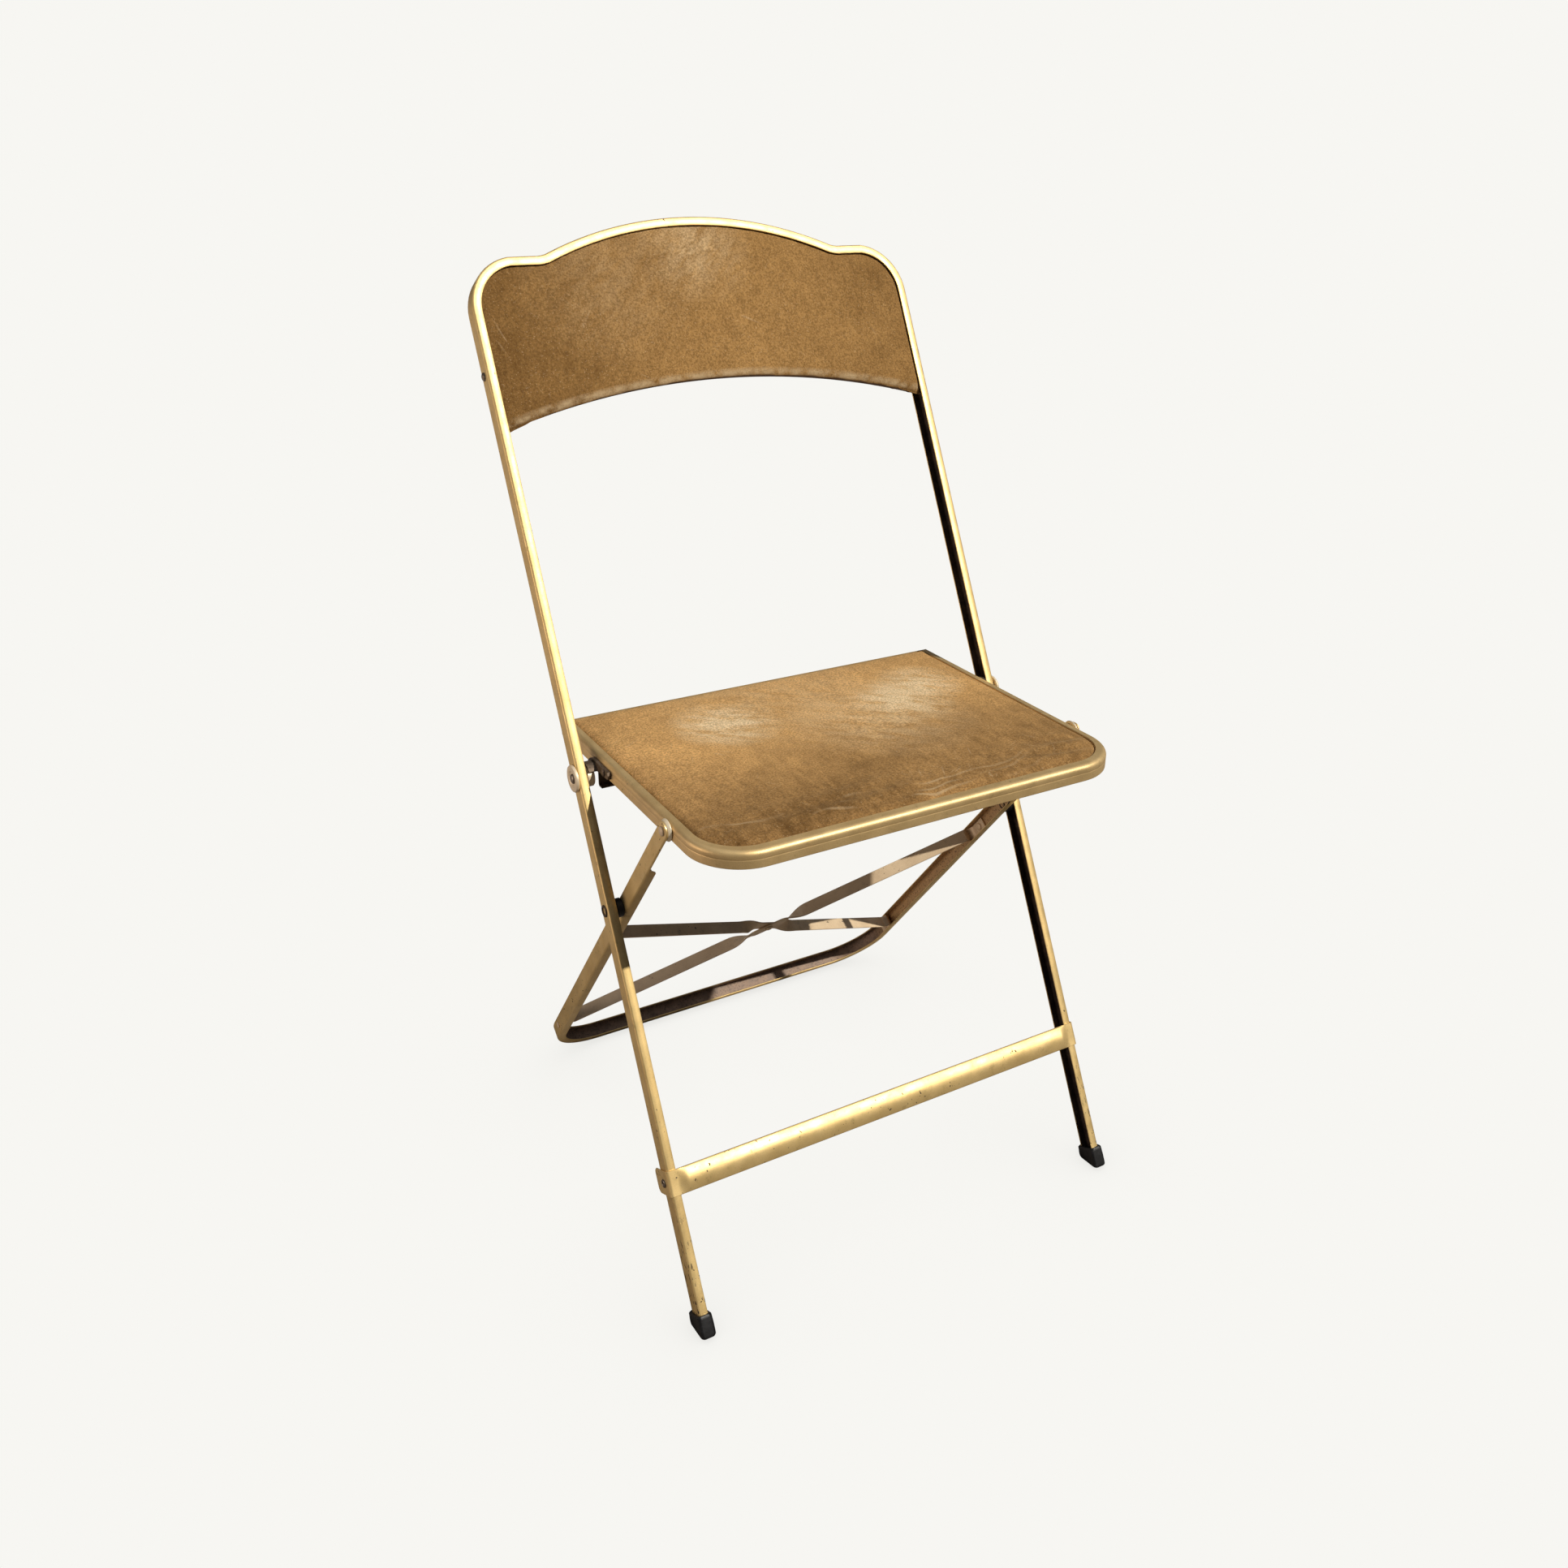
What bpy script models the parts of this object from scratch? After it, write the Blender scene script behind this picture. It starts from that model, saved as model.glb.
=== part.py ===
"""A folding metal chair with an upholstered seat and back, unfolded and standing on the floor.

Metres, +Z up. The chair faces -Y and the floor is z = 0. Three groups of pieces move against each other:
the main frame (front legs and back in one bent channel), the rear frame (rear legs and their cross brace)
and the seat. Every piece is drawn in the tilted frame of its own group, whose origin is on that group's hinge.
"""

import math

import bmesh
import bpy
from mathutils import Matrix

GAP = 0.0003  # between pieces that touch on the real chair
SHEET = 0.0012  # thickness of the pressed sheet steel
BEND = 0.0012  # outside radius where the sheet is folded

# Main frame, measured up along the leg from the floor. It leans back.
LEAN = math.radians(30.82)
FRAME_HALF = 0.2105
FRAME_DEPTH = 0.0165
FRAME_FLANGE = 0.0080
SHOULDER_LOW = 0.855
SHOULDER_RADIUS = 0.045
NOTCH_X = 0.1407
ARCH_TOP = 0.930
FRAME_MID = FRAME_DEPTH / 2
FRAME_WEB = FRAME_HALF - SHEET

# Rubber foot caps on the main frame
CAP_HEIGHT = 0.022
CAP_WALL = 0.0017
CAP_SOLE = 0.003
CAP_CORNER = 0.0024

# Front stretcher, one strip of sheet folded back round both legs
STRETCHER_MID = 0.1312
STRETCHER_HALF = 0.0107
STRETCHER_CROWN = 0.0032
FLAP_BACK = 0.0245

# Back panel
BACK_LOW = 0.754
BACK_RISE = 0.031
SCREW_HEIGHT = 0.804
BACK_LAYERS = {"back_pad": (0.0018, 0.0064), "back_board": (0.0068, 0.0120), "back_cover": (0.0124, 0.0148)}
BACK_INSETS = {"back_pad": 0.0052, "back_board": 0.0020, "back_cover": 0.0035}

# Rear frame, measured up along its leg from the hinge that it shares with the main frame
HINGE_HEIGHT = 0.3579
REAR_TILT = math.radians(34.70)
REAR_HALF = 0.1958
REAR_DEPTH = 0.0155
REAR_FLANGE = 0.0088
REAR_RADIUS = 0.055
SEAT_HINGE = 0.1395
FLANGE_TOP = SEAT_HINGE - 0.054
FLANGE_ROUND = 0.010
REAR_WEB = REAR_HALF - SHEET

# Cross brace of the rear frame
BRACE_TOP = -0.0470
BRACE_LOW = -0.2955
BRACE_WIDTH = 0.0120
BRACE_THICK = 0.0016
BRACE_TAB = 0.009
BRACE_BEND = 0.012
TWIST_NEAR = 0.018
TWIST_FAR = 0.062

# Seat, measured from its hinge on the rear frame
SEAT_TILT = math.radians(3.6)
SEAT_HALF = 0.191
SEAT_BACK = 0.2162
SEAT_FRONT = 0.0738
SEAT_TOP = 0.0074
SEAT_CORNER = 0.045
RAIL_HEIGHT = 0.0142
RAIL_ROUND = 0.003
RAIL_HEM = 0.003
LIP_SIDE = 0.008
LIP_FRONT = 0.010
LIP_BACK = 0.004
BOARD_INSET = 0.004
BOARD_TOP = -0.0050
BOARD_LOW = -0.0090
CUSHION_TOP = 0.0040
CUSHION_LOW = -0.0046
CROSSBAR_Y = 0.1480
CROSSBAR_LOW = -0.0275
CROSSBAR_FLANGE = 0.0070
CROSSBAR_HALF = 0.1862
NUB_X = 0.1845
NUB_DROP = 0.0045

# The rest that carries the rear of the seat: a pin on each leg, and a saddle on each rail that drops over it
REST_HEIGHT = 0.4687
PIN_RADIUS = 0.0090
PIN_INNER = 0.1962
SADDLE_ENDS = (-52, 100)  # degrees from straight up, positive to the rear
SADDLE_RADIUS = 0.0120
SADDLE_PLATE = 0.0140
PLATE_OUTER = 0.1943
SADDLE_OUTER = 0.2015
TAB_RIVET = (-0.0220, 0.0103)  # from the pin's axis: forward and up

SIDES = {"l": -1, "r": 1}
SMALL_ROUND = 16
LARGE_ROUND = 32


def frame_at(origin_y, origin_z, turn):
    """The tilted frame of one group: its origin on the hinge, local Z along the leg or up from the seat."""
    return Matrix.Translation((0, origin_y, origin_z)) @ Matrix.Rotation(turn, 4, "X")


# The chair's reach behind and in front of the floor line of the main frame fixes where y = 0 is.
REACH_BACK = ARCH_TOP * math.sin(LEAN) + FRAME_DEPTH * math.cos(LEAN)
REACH_FRONT = (CAP_WALL + GAP) / math.cos(LEAN)
MAIN = frame_at((REACH_FRONT - REACH_BACK) / 2, 0, -LEAN)
HINGE_POINT = MAIN @ Matrix.Translation((0, FRAME_MID, HINGE_HEIGHT))
REAR = frame_at(HINGE_POINT.translation.y, HINGE_POINT.translation.z, REAR_TILT)
REAR_LENGTH = (HINGE_POINT.translation.z - REAR_DEPTH / 2 * math.sin(REAR_TILT)) / math.cos(REAR_TILT)
SEAT_POINT = REAR @ Matrix.Translation((0, 0, SEAT_HINGE))
SEAT = frame_at(SEAT_POINT.translation.y, SEAT_POINT.translation.z, -SEAT_TILT)
REST_POINT = MAIN @ Matrix.Translation((0, FRAME_MID, REST_HEIGHT))
REST_ON_SEAT = (SEAT.inverted() @ REST_POINT).translation


def clear_scene():
    for thing in list(bpy.data.objects):
        bpy.data.objects.remove(thing, do_unlink=True)


def material(name, colour, metallic, roughness):
    made = bpy.data.materials.new(name)
    made.use_nodes = True
    shader = made.node_tree.nodes["Principled BSDF"]
    shader.inputs["Base Color"].default_value = (*colour, 1)
    shader.inputs["Metallic"].default_value = metallic
    shader.inputs["Roughness"].default_value = roughness
    made.diffuse_color = (*colour, 1)
    return made


LOOKS = {
    "gold": ((0.62, 0.43, 0.20), 0.0, 0.35),
    "velvet": ((0.30, 0.18, 0.10), 0.0, 0.90),
    "board": ((0.16, 0.10, 0.06), 0.0, 0.80),
    "rubber": ((0.02, 0.02, 0.02), 0.0, 0.70),
    "brass": ((0.75, 0.55, 0.22), 1.0, 0.30),
    "steel": ((0.35, 0.33, 0.30), 1.0, 0.40),
}


def solid(name, rings, frame, look, closed=False, smooth=True):
    """One closed body through rings of equally many points, capped at both ends unless it closes on itself."""
    count = len(rings[0])
    points = [point for ring in rings for point in ring]
    faces = []
    for i in range(len(rings) if closed else len(rings) - 1):
        here = i * count
        there = (i + 1) % len(rings) * count
        for j in range(count):
            k = (j + 1) % count
            faces.append((here + j, here + k, there + k, there + j))
    if not closed:
        faces.append(tuple(range(count)))
        faces.append(tuple(range(len(points) - count, len(points))))
    mesh = bpy.data.meshes.new(name)
    mesh.from_pydata(points, [], faces)
    work = bmesh.new()
    work.from_mesh(mesh)
    bmesh.ops.recalc_face_normals(work, faces=work.faces)
    work.to_mesh(mesh)
    work.free()
    if smooth:
        mesh.shade_smooth()
        mesh.set_sharp_from_angle(angle=math.radians(30))
    made = bpy.data.objects.new(name, mesh)
    made.matrix_world = frame
    bpy.context.scene.collection.objects.link(made)
    if look:
        mesh.materials.append(material(f"{name}_{look}", *LOOKS[look]))
    return made


def arc(centre, radius, start, end, steps):
    """Points on an arc in a plane. The angles are in degrees from the plane's first axis."""
    turns = [math.radians(start + (end - start) * i / steps) for i in range(steps + 1)]
    return [(centre[0] + radius * math.cos(a), centre[1] + radius * math.sin(a)) for a in turns]


def mirrored(half):
    """The whole of an outline whose first half is given on the right, ending on the middle line."""
    return half + [(-x, y) for x, y in reversed(half[:-1])]


def inward(path, i, closed=False):
    """The mitred direction to the left of travel at one point of a path, long enough to offset both its sides by 1."""
    before = path[i - 1] if closed or i > 0 else None
    after = path[(i + 1) % len(path)] if closed or i < len(path) - 1 else None
    normals = []
    for start, end in ((before, path[i]), (path[i], after)):
        if start and end:
            dx, dy = end[0] - start[0], end[1] - start[1]
            length = math.hypot(dx, dy)
            normals.append((-dy / length, dx / length))
    (ax, ay), (bx, by) = normals[0], normals[-1]
    scale = 1 + ax * bx + ay * by
    return ((ax + bx) / scale, (ay + by) / scale)


def offset(path, distance, closed=False):
    shifted = []
    for i, (x, y) in enumerate(path):
        side = inward(path, i, closed)
        shifted.append((x + side[0] * distance, y + side[1] * distance))
    return shifted


def channel(depth, flange):
    """(inward, across) points of a channel section whose web is outside and whose flanges point in."""
    half = depth / 2
    front = arc((BEND, BEND - half), BEND, 270, 180, 2)
    rear = arc((BEND, half - BEND), BEND, 180, 90, 2)
    inside = [(flange, half), (flange, half - SHEET), (SHEET, half - SHEET)]
    inside += [(SHEET, SHEET - half), (flange, SHEET - half), (flange, -half)]
    return front + rear + inside


def pins(name, places, radius, frame, axis="x"):
    """A hidden cutter: one cylinder for each place, along local X or Y. A place is (x, y, z, half length)."""
    work = bmesh.new()
    quarter = Matrix.Rotation(math.pi / 2, 4, "Y" if axis == "x" else "X")
    for place, size in zip(places, radius):
        where = Matrix.Translation(place[:3]) @ quarter
        bmesh.ops.create_cone(
            work, cap_ends=True, segments=SMALL_ROUND, radius1=size, radius2=size, depth=2 * place[3], matrix=where
        )
    mesh = bpy.data.meshes.new(name)
    work.to_mesh(mesh)
    work.free()
    cutter = bpy.data.objects.new(name, mesh)
    cutter.matrix_world = frame
    cutter.hide_render = True
    cutter.display_type = "WIRE"
    bpy.context.scene.collection.objects.link(cutter)
    return cutter


def drill(target, name, holes, axis="x"):
    """Cuts round holes. A hole is (x, y, z, half length, radius) in the target's own frame."""
    cutter = pins(name, [hole[:4] for hole in holes], [hole[4] for hole in holes], target.matrix_world, axis)
    cut = target.modifiers.new(name, "BOOLEAN")
    cut.operation = "DIFFERENCE"
    cut.solver = "EXACT"
    cut.object = cutter


def turned(name, profile, centre, frame, look, bored=False, axis="x", segments=SMALL_ROUND):
    """A turned piece. The profile holds (radius, position along the axis) and closes on itself when bored through."""
    rings = []
    for radius, along in profile:
        ring = []
        for y, z in arc((0, 0), radius, 0, 360, segments)[:-1]:
            spot = (along, y, z) if axis == "x" else (y, along, z)
            ring.append(tuple(a + b for a, b in zip(centre, spot)))
        rings.append(ring)
    return solid(name, rings, frame, look, closed=bored)


def rivet(head, shaft, outer, inner, thick):
    """Profile of a solid rivet: domed head outside, flat head inside. outer and inner are the gripped faces."""
    side = 1 if outer > inner else -1
    return [
        (head * 0.45, outer + side * thick),
        (head * 0.80, outer + side * thick * 0.75),
        (head, outer + side * thick * 0.25),
        (head, outer),
        (shaft, outer),
        (shaft, inner),
        (head * 0.85, inner),
        (head * 0.85, inner - side * thick * 0.5),
    ]


def eyelet(head, shaft, bore, outer, inner, thick):
    """Profile of a tubular rivet with a rolled head at both ends and a hole right through."""
    side = 1 if outer > inner else -1
    return [
        (bore, outer + side * thick * 0.4),
        (bore + (head - bore) * 0.4, outer + side * thick),
        (head, outer + side * thick * 0.4),
        (head, outer),
        (shaft, outer),
        (shaft, inner),
        (head * 0.8, inner),
        (head * 0.8, inner - side * thick * 0.5),
        (bore, inner - side * thick * 0.8),
    ]


# ---------------------------------------------------------------- main frame


def main_path():
    """Outer edge of the main frame as (x, height): right leg, shoulder, notch, arch, and the same on the left."""
    shoulder_high = SHOULDER_LOW + SHOULDER_RADIUS
    rise = ARCH_TOP - shoulder_high
    arch_radius = (NOTCH_X**2 + rise**2) / (2 * rise)
    reach = math.degrees(math.asin(NOTCH_X / arch_radius))
    half = [(FRAME_HALF, 0), (FRAME_HALF, BACK_LOW)]
    half += arc((FRAME_HALF - SHOULDER_RADIUS, SHOULDER_LOW), SHOULDER_RADIUS, 0, 90, 8)
    half += arc((0, ARCH_TOP - arch_radius), arch_radius, 90 - reach, 90, 9)
    return mirrored(half)


def make_main_frame():
    path = main_path()
    section = channel(FRAME_DEPTH, FRAME_FLANGE)
    end = (CAP_SOLE + 2 * GAP) / math.cos(LEAN)
    rings = []
    for i, (x, z) in enumerate(path):
        side = inward(path, i)
        at_end = i in (0, len(path) - 1)
        ring = []
        for u, across in section:
            n = across + FRAME_MID
            # Both feet are cut level with the floor.
            lift = end + n * math.tan(LEAN) if at_end else 0
            ring.append((x + side[0] * u, n, z + side[1] * u + lift))
        rings.append(ring)
    frame = solid("main_frame", rings, MAIN, "gold")
    holes = []
    for side in SIDES.values():
        x = side * (FRAME_HALF - SHEET / 2)
        holes.append((x, FRAME_MID, HINGE_HEIGHT, 0.002, 0.0043))
        holes.append((x, FRAME_MID, REST_HEIGHT, 0.002, 0.0033))
        holes.append((x, FRAME_MID, STRETCHER_MID, 0.002, 0.0025))
        holes.append((x, board_middle(), SCREW_HEIGHT, 0.002, 0.0021))
    drill(frame, "cut_main_frame", holes)


def rounded_box(x0, x1, y0, y1, corner):
    """The four sides of a rectangle with rounded corners, as (x, y)."""
    points = []
    points += arc((x1 - corner, y1 - corner), corner, 0, 90, 3)
    points += arc((x0 + corner, y1 - corner), corner, 90, 180, 3)
    points += arc((x0 + corner, y0 + corner), corner, 180, 270, 3)
    points += arc((x1 - corner, y0 + corner), corner, 270, 360, 3)
    return points


def make_foot_caps():
    """A rubber boot over the end of each leg, cut level with the floor."""
    slope = math.tan(LEAN)
    inner_x = FRAME_HALF - FRAME_FLANGE - GAP
    outer_x = FRAME_HALF + GAP
    for name, side in SIDES.items():
        wall = CAP_WALL
        outside = rounded_box(inner_x - wall, outer_x + wall, -GAP - wall, FRAME_DEPTH + GAP + wall, CAP_CORNER)
        inside = rounded_box(inner_x, outer_x, -GAP, FRAME_DEPTH + GAP, 0.0008)
        sole = CAP_SOLE / math.cos(LEAN)
        rings = [
            [(side * x, y, y * slope) for x, y in outside],
            [(side * x, y, CAP_HEIGHT) for x, y in outside],
            [(side * x, y, CAP_HEIGHT) for x, y in inside],
            [(side * x, y, y * slope + sole) for x, y in inside],
        ]
        solid(f"foot_cap_{name}", rings, MAIN, "rubber")


def make_stretcher():
    """Crowned strip across the front of the legs, flat at its ends, with a flap back along each leg."""
    inner_x = FRAME_HALF + GAP
    bend = 0.0015
    half = []
    flap_end = (90, 60, 35, 15, 0)
    for turn in flap_end:
        shrink = STRETCHER_HALF * 0.45 * (1 - math.cos(math.radians(turn)))
        back = FLAP_BACK - STRETCHER_HALF * 0.45 * (1 - math.sin(math.radians(turn)))
        half.append((inner_x, back, (1, 0), STRETCHER_HALF - shrink, 0))
    for x, y in arc((inner_x - bend, bend - GAP), bend, 0, -90, 4):
        normal = ((x - inner_x + bend) / bend, (y + GAP - bend) / bend)
        half.append((x, y, normal, STRETCHER_HALF, 0))
    for x, crown in ((0.200, 0), (0.190, 0.2), (0.180, 0.65), (0.170, 0.92), (0.150, 1), (0.075, 1), (0, 1)):
        half.append((x, -GAP, (0, -1), STRETCHER_HALF, crown * STRETCHER_CROWN))
    rest = [(-x, y, (-nx, ny), tall, crown) for x, y, (nx, ny), tall, crown in reversed(half[:-1])]
    rings = []
    for x, y, (nx, ny), tall, crown in half + rest:
        across = [-1, -0.85, -0.5, 0, 0.5, 0.85, 1]
        ring = []
        for layer, order in ((0, across), (SHEET, across[::-1])):
            for t in order:
                out = layer + crown * (1 - t * t)
                ring.append((x + nx * out, y + ny * out, STRETCHER_MID + t * tall))
        rings.append(ring)
    strip = solid("front_stretcher", rings, MAIN, "gold")
    face = inner_x + SHEET / 2
    drill(strip, "cut_stretcher", [(s * face, FRAME_MID, STRETCHER_MID, 0.002, 0.0025) for s in SIDES.values()])
    for name, side in SIDES.items():
        grip = eyelet(0.0036, 0.0022, 0.0014, inner_x + SHEET + GAP, FRAME_WEB - GAP, 0.0010)
        profile = [(radius, side * along) for radius, along in grip]
        turned(f"stretcher_rivet_{name}", profile, (0, FRAME_MID, STRETCHER_MID), MAIN, "steel", bored=True)


def board_middle():
    return sum(BACK_LAYERS["back_board"]) / 2


def back_outline(inset):
    """The back panel's outline as (x, height): it follows the frame above and an arched edge below."""
    upper = [point for point in offset(main_path(), inset) if point[1] > BACK_LOW - 0.001]
    corner = upper[0][0]
    low = BACK_LOW + inset * 0.3
    radius = (corner**2 + BACK_RISE**2) / (2 * BACK_RISE)
    reach = math.degrees(math.asin(corner / radius))
    lower = arc((0, low + BACK_RISE - radius), radius, 90 + reach, 90 - reach, 14)
    return upper[1:-1] + lower


def make_back():
    soft = 0.0014
    for name, (front, rear) in BACK_LAYERS.items():
        inset = BACK_INSETS[name]
        steps = [(inset, front), (inset, rear)]
        if name == "back_pad":
            steps = [(inset + soft, front), (inset + soft * 0.3, front + soft * 0.3), (inset, front + soft), (inset, rear)]
        if name == "back_cover":
            steps = [(inset, front), (inset, rear - soft * 0.5), (inset + soft * 0.5, rear)]
        rings = [[(x, depth, z) for x, z in back_outline(edge)] for edge, depth in steps]
        layer = solid(name, rings, MAIN, "board" if name == "back_board" else "velvet")
        if name == "back_board":
            edge = FRAME_HALF - inset
            holes = [(s * edge, board_middle(), SCREW_HEIGHT, 0.0082, 0.0021) for s in SIDES.values()]
            drill(layer, "cut_back_board", holes)
    for name, side in SIDES.items():
        face = FRAME_HALF + GAP
        profile = [(0.0016, face + 0.0016), (0.0032, face + 0.0010), (0.0036, face), (0.0018, face)]
        profile += [(0.0018, FRAME_HALF - 0.0085), (0.0006, FRAME_HALF - 0.0098)]
        profile = [(radius, side * along) for radius, along in profile]
        turned(f"back_screw_{name}", profile, (0, board_middle(), SCREW_HEIGHT), MAIN, "steel")


def make_hinge_pins():
    """Tubular rivets on which the rear frame turns, each with a black spacer between the two legs."""
    centre = (0, FRAME_MID, HINGE_HEIGHT)
    for name, side in SIDES.items():
        grip = eyelet(0.0068, 0.0040, 0.0028, FRAME_HALF + GAP, REAR_WEB - GAP, 0.0016)
        turned(f"hinge_rivet_{name}", [(r, side * a) for r, a in grip], centre, MAIN, "gold", bored=True)
        inner, outer = REAR_HALF + GAP, FRAME_HALF - FRAME_FLANGE - GAP
        ring = [(0.0080, inner), (0.0080, outer), (0.0043, outer), (0.0043, inner)]
        turned(f"hinge_spacer_{name}", [(r, side * a) for r, a in ring], centre, MAIN, "rubber", bored=True)


def make_rest_pins():
    """The fixed half of the seat rest: a thick disc outside each leg, a pin inside it and the rivet through both."""
    centre = (0, FRAME_MID, REST_HEIGHT)
    for name, side in SIDES.items():
        face = FRAME_HALF + GAP
        disc = [(0.0033, face), (0.0115, face), (0.0115, face + 0.0032), (0.0107, face + 0.0040)]
        disc += [(0.0052, face + 0.0040), (0.0048, face + 0.0014), (0.0033, face + 0.0014)]
        disc = [(r, side * a) for r, a in disc]
        turned(f"rest_disc_{name}", disc, centre, MAIN, "gold", bored=True, segments=LARGE_ROUND)
        end = FRAME_HALF - FRAME_FLANGE - GAP
        pin = [(0.0033, end), (PIN_RADIUS, end), (PIN_RADIUS, PIN_INNER + 0.0006), (PIN_RADIUS - 0.0006, PIN_INNER)]
        pin += [(0.0055, PIN_INNER), (0.0055, PIN_INNER + 0.0020), (0.0033, PIN_INNER + 0.0020)]
        pin = [(r, side * a) for r, a in pin]
        turned(f"rest_pin_{name}", pin, centre, MAIN, "gold", bored=True, segments=LARGE_ROUND)
        grip = rivet(0.0042, 0.0030, face + 0.0014 + GAP, PIN_INNER + 0.0020 - GAP, 0.0018)
        turned(f"rest_rivet_{name}", [(r, side * a) for r, a in grip], centre, MAIN, "steel")


# ---------------------------------------------------------------- rear frame


def rear_path():
    """Outer edge of the rear frame as (x, height above the hinge): down the right leg, along the floor, up the left."""
    low = -REAR_LENGTH
    half = []
    round_top = REAR_DEPTH / 2
    for turn in (80, 60, 40, 20, 0):
        half.append((REAR_HALF, SEAT_HINGE + round_top * math.sin(math.radians(turn))))
    half += [(REAR_HALF, FLANGE_TOP)]
    for turn in (25, 50, 75):
        half.append((REAR_HALF, FLANGE_TOP - FLANGE_ROUND * (1 - math.cos(math.radians(turn)))))
    half += [(REAR_HALF, FLANGE_TOP - FLANGE_ROUND)]
    half += arc((REAR_HALF - REAR_RADIUS, low + REAR_RADIUS), REAR_RADIUS, 0, -90, 10)
    half += [(0, low)]
    return mirrored(half)


def make_rear_frame():
    path = rear_path()
    rings = []
    for i, (x, z) in enumerate(path):
        side = inward(path, i)
        above = max(0, z - SEAT_HINGE)
        narrow = math.sqrt(1 - (above / (REAR_DEPTH / 2)) ** 2)
        # The flanges start below the seat with a rounded end.
        into = min(1, max(0, (FLANGE_TOP - z) / FLANGE_ROUND))
        flange = SHEET + (REAR_FLANGE - SHEET) * math.sqrt(1 - (1 - into) ** 2)
        ring = [(x - side[0] * u, n * narrow, z - side[1] * u) for u, n in channel(REAR_DEPTH, flange)]
        rings.append(ring)
    frame = solid("rear_frame", rings, REAR, "gold")
    holes = []
    for side in SIDES.values():
        x = side * (REAR_HALF - SHEET / 2)
        holes.append((x, 0, SEAT_HINGE, 0.002, 0.0033))
        holes.append((x, 0, 0, 0.002, 0.0043))
        holes.append((x, 0, BRACE_TOP, 0.002, 0.0023))
        holes.append((x, 0, BRACE_LOW, 0.002, 0.0023))
    drill(frame, "cut_rear_frame", holes)


def brace_line():
    """Middle line of a brace strap as (x, height): flat on a leg, then across to the low end of the other leg."""
    x = REAR_WEB - GAP - BRACE_THICK / 2
    top, low = BRACE_TOP - BRACE_TAB, BRACE_LOW + BRACE_TAB
    middle = (top + low) / 2
    angle = math.atan2(top - middle, x)
    bend = [
        (x, BRACE_TOP + BRACE_TAB),
        (x, BRACE_TOP),
        (x, top),
        (x - 0.0012, top - 0.0050),
        (x - BRACE_BEND * math.cos(angle), top - BRACE_BEND * math.sin(angle)),
    ]
    start = bend[-1]
    for share in (0.25, 0.5, 0.62, 0.68, 0.74, 0.80, 0.86, 0.92, 0.97):
        bend.append((start[0] * (1 - share), start[1] + (middle - start[1]) * share))
    return bend + [(0, middle)] + [(-x, 2 * middle - z) for x, z in reversed(bend)]


def make_brace():
    """Two flat straps, edge on beside the legs and twisted flat where they cross, with rivets at all five joints."""
    line = brace_line()
    middle = line[len(line) // 2][1]
    for name, hand in (("brace_strap_a", 1), ("brace_strap_b", -1)):
        path = [(hand * x, z) for x, z in line]
        rings = []
        for i, (x, z) in enumerate(path):
            side = inward(path, i)
            reach = math.hypot(*side)
            side = (side[0] / reach, side[1] / reach)
            away = math.hypot(x, z - middle)
            twist = min(1, max(0, (TWIST_FAR - away) / (TWIST_FAR - TWIST_NEAR)))
            twist = twist * twist * (3 - 2 * twist)
            turn = math.radians(90) * twist
            lift = -hand * (BRACE_THICK / 2 + GAP / 2) * twist
            ring = []
            for w, t in ((-1, -1), (1, -1), (1, 1), (-1, 1)):
                wide, thick = w * BRACE_WIDTH / 2, t * BRACE_THICK / 2
                flat = wide * math.sin(turn) + thick * math.cos(turn)
                deep = wide * math.cos(turn) - thick * math.sin(turn)
                ring.append((x + side[0] * flat, lift + deep, z + side[1] * flat))
            rings.append(ring)
        strap = solid(name, rings, REAR, "gold")
        x = line[0][0]
        ends = [(hand * x, 0, BRACE_TOP, 0.002, 0.0023), (-hand * x, 0, BRACE_LOW, 0.002, 0.0023)]
        drill(strap, f"cut_{name}_ends", ends)
        drill(strap, f"cut_{name}_middle", [(0, 0, middle, 0.004, 0.0023)], axis="y")
    for name, side in SIDES.items():
        for level, height in (("top", BRACE_TOP), ("low", BRACE_LOW)):
            grip = rivet(0.0036, 0.0020, REAR_WEB - 2 * GAP - BRACE_THICK, REAR_HALF + GAP, 0.0014)
            profile = [(r, side * a) for r, a in grip]
            turned(f"brace_rivet_{level}_{name}", profile, (0, 0, height), REAR, "gold")
    grip = rivet(0.0040, 0.0020, -BRACE_THICK - 1.5 * GAP, BRACE_THICK + 1.5 * GAP, 0.0016)
    turned("brace_rivet_middle", grip, (0, 0, middle), REAR, "gold", axis="y")


# ---------------------------------------------------------------------- seat


def seat_path():
    """Outer edge of the seat as (x, y), from the rear right corner round the front and back along the rear edge."""
    half = [(0, -SEAT_FRONT)]
    half += arc((SEAT_HALF - SEAT_CORNER, SEAT_CORNER - SEAT_FRONT), SEAT_CORNER, -90, 0, 9)
    half += [(SEAT_HALF, SEAT_BACK)]
    return half + [(-x, y) for x, y in reversed(half[1:])]


def seat_inset(path, i, distance):
    """Point i of the seat's edge moved inwards. The rear edge is never moved by more than the width of its lip."""
    x, y = path[i]
    side = inward(path, i, closed=True)
    if y > SEAT_BACK - GAP:
        return (x + side[0] * distance, y - min(distance, LIP_BACK))
    return (x + side[0] * distance, y + side[1] * distance)


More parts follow.
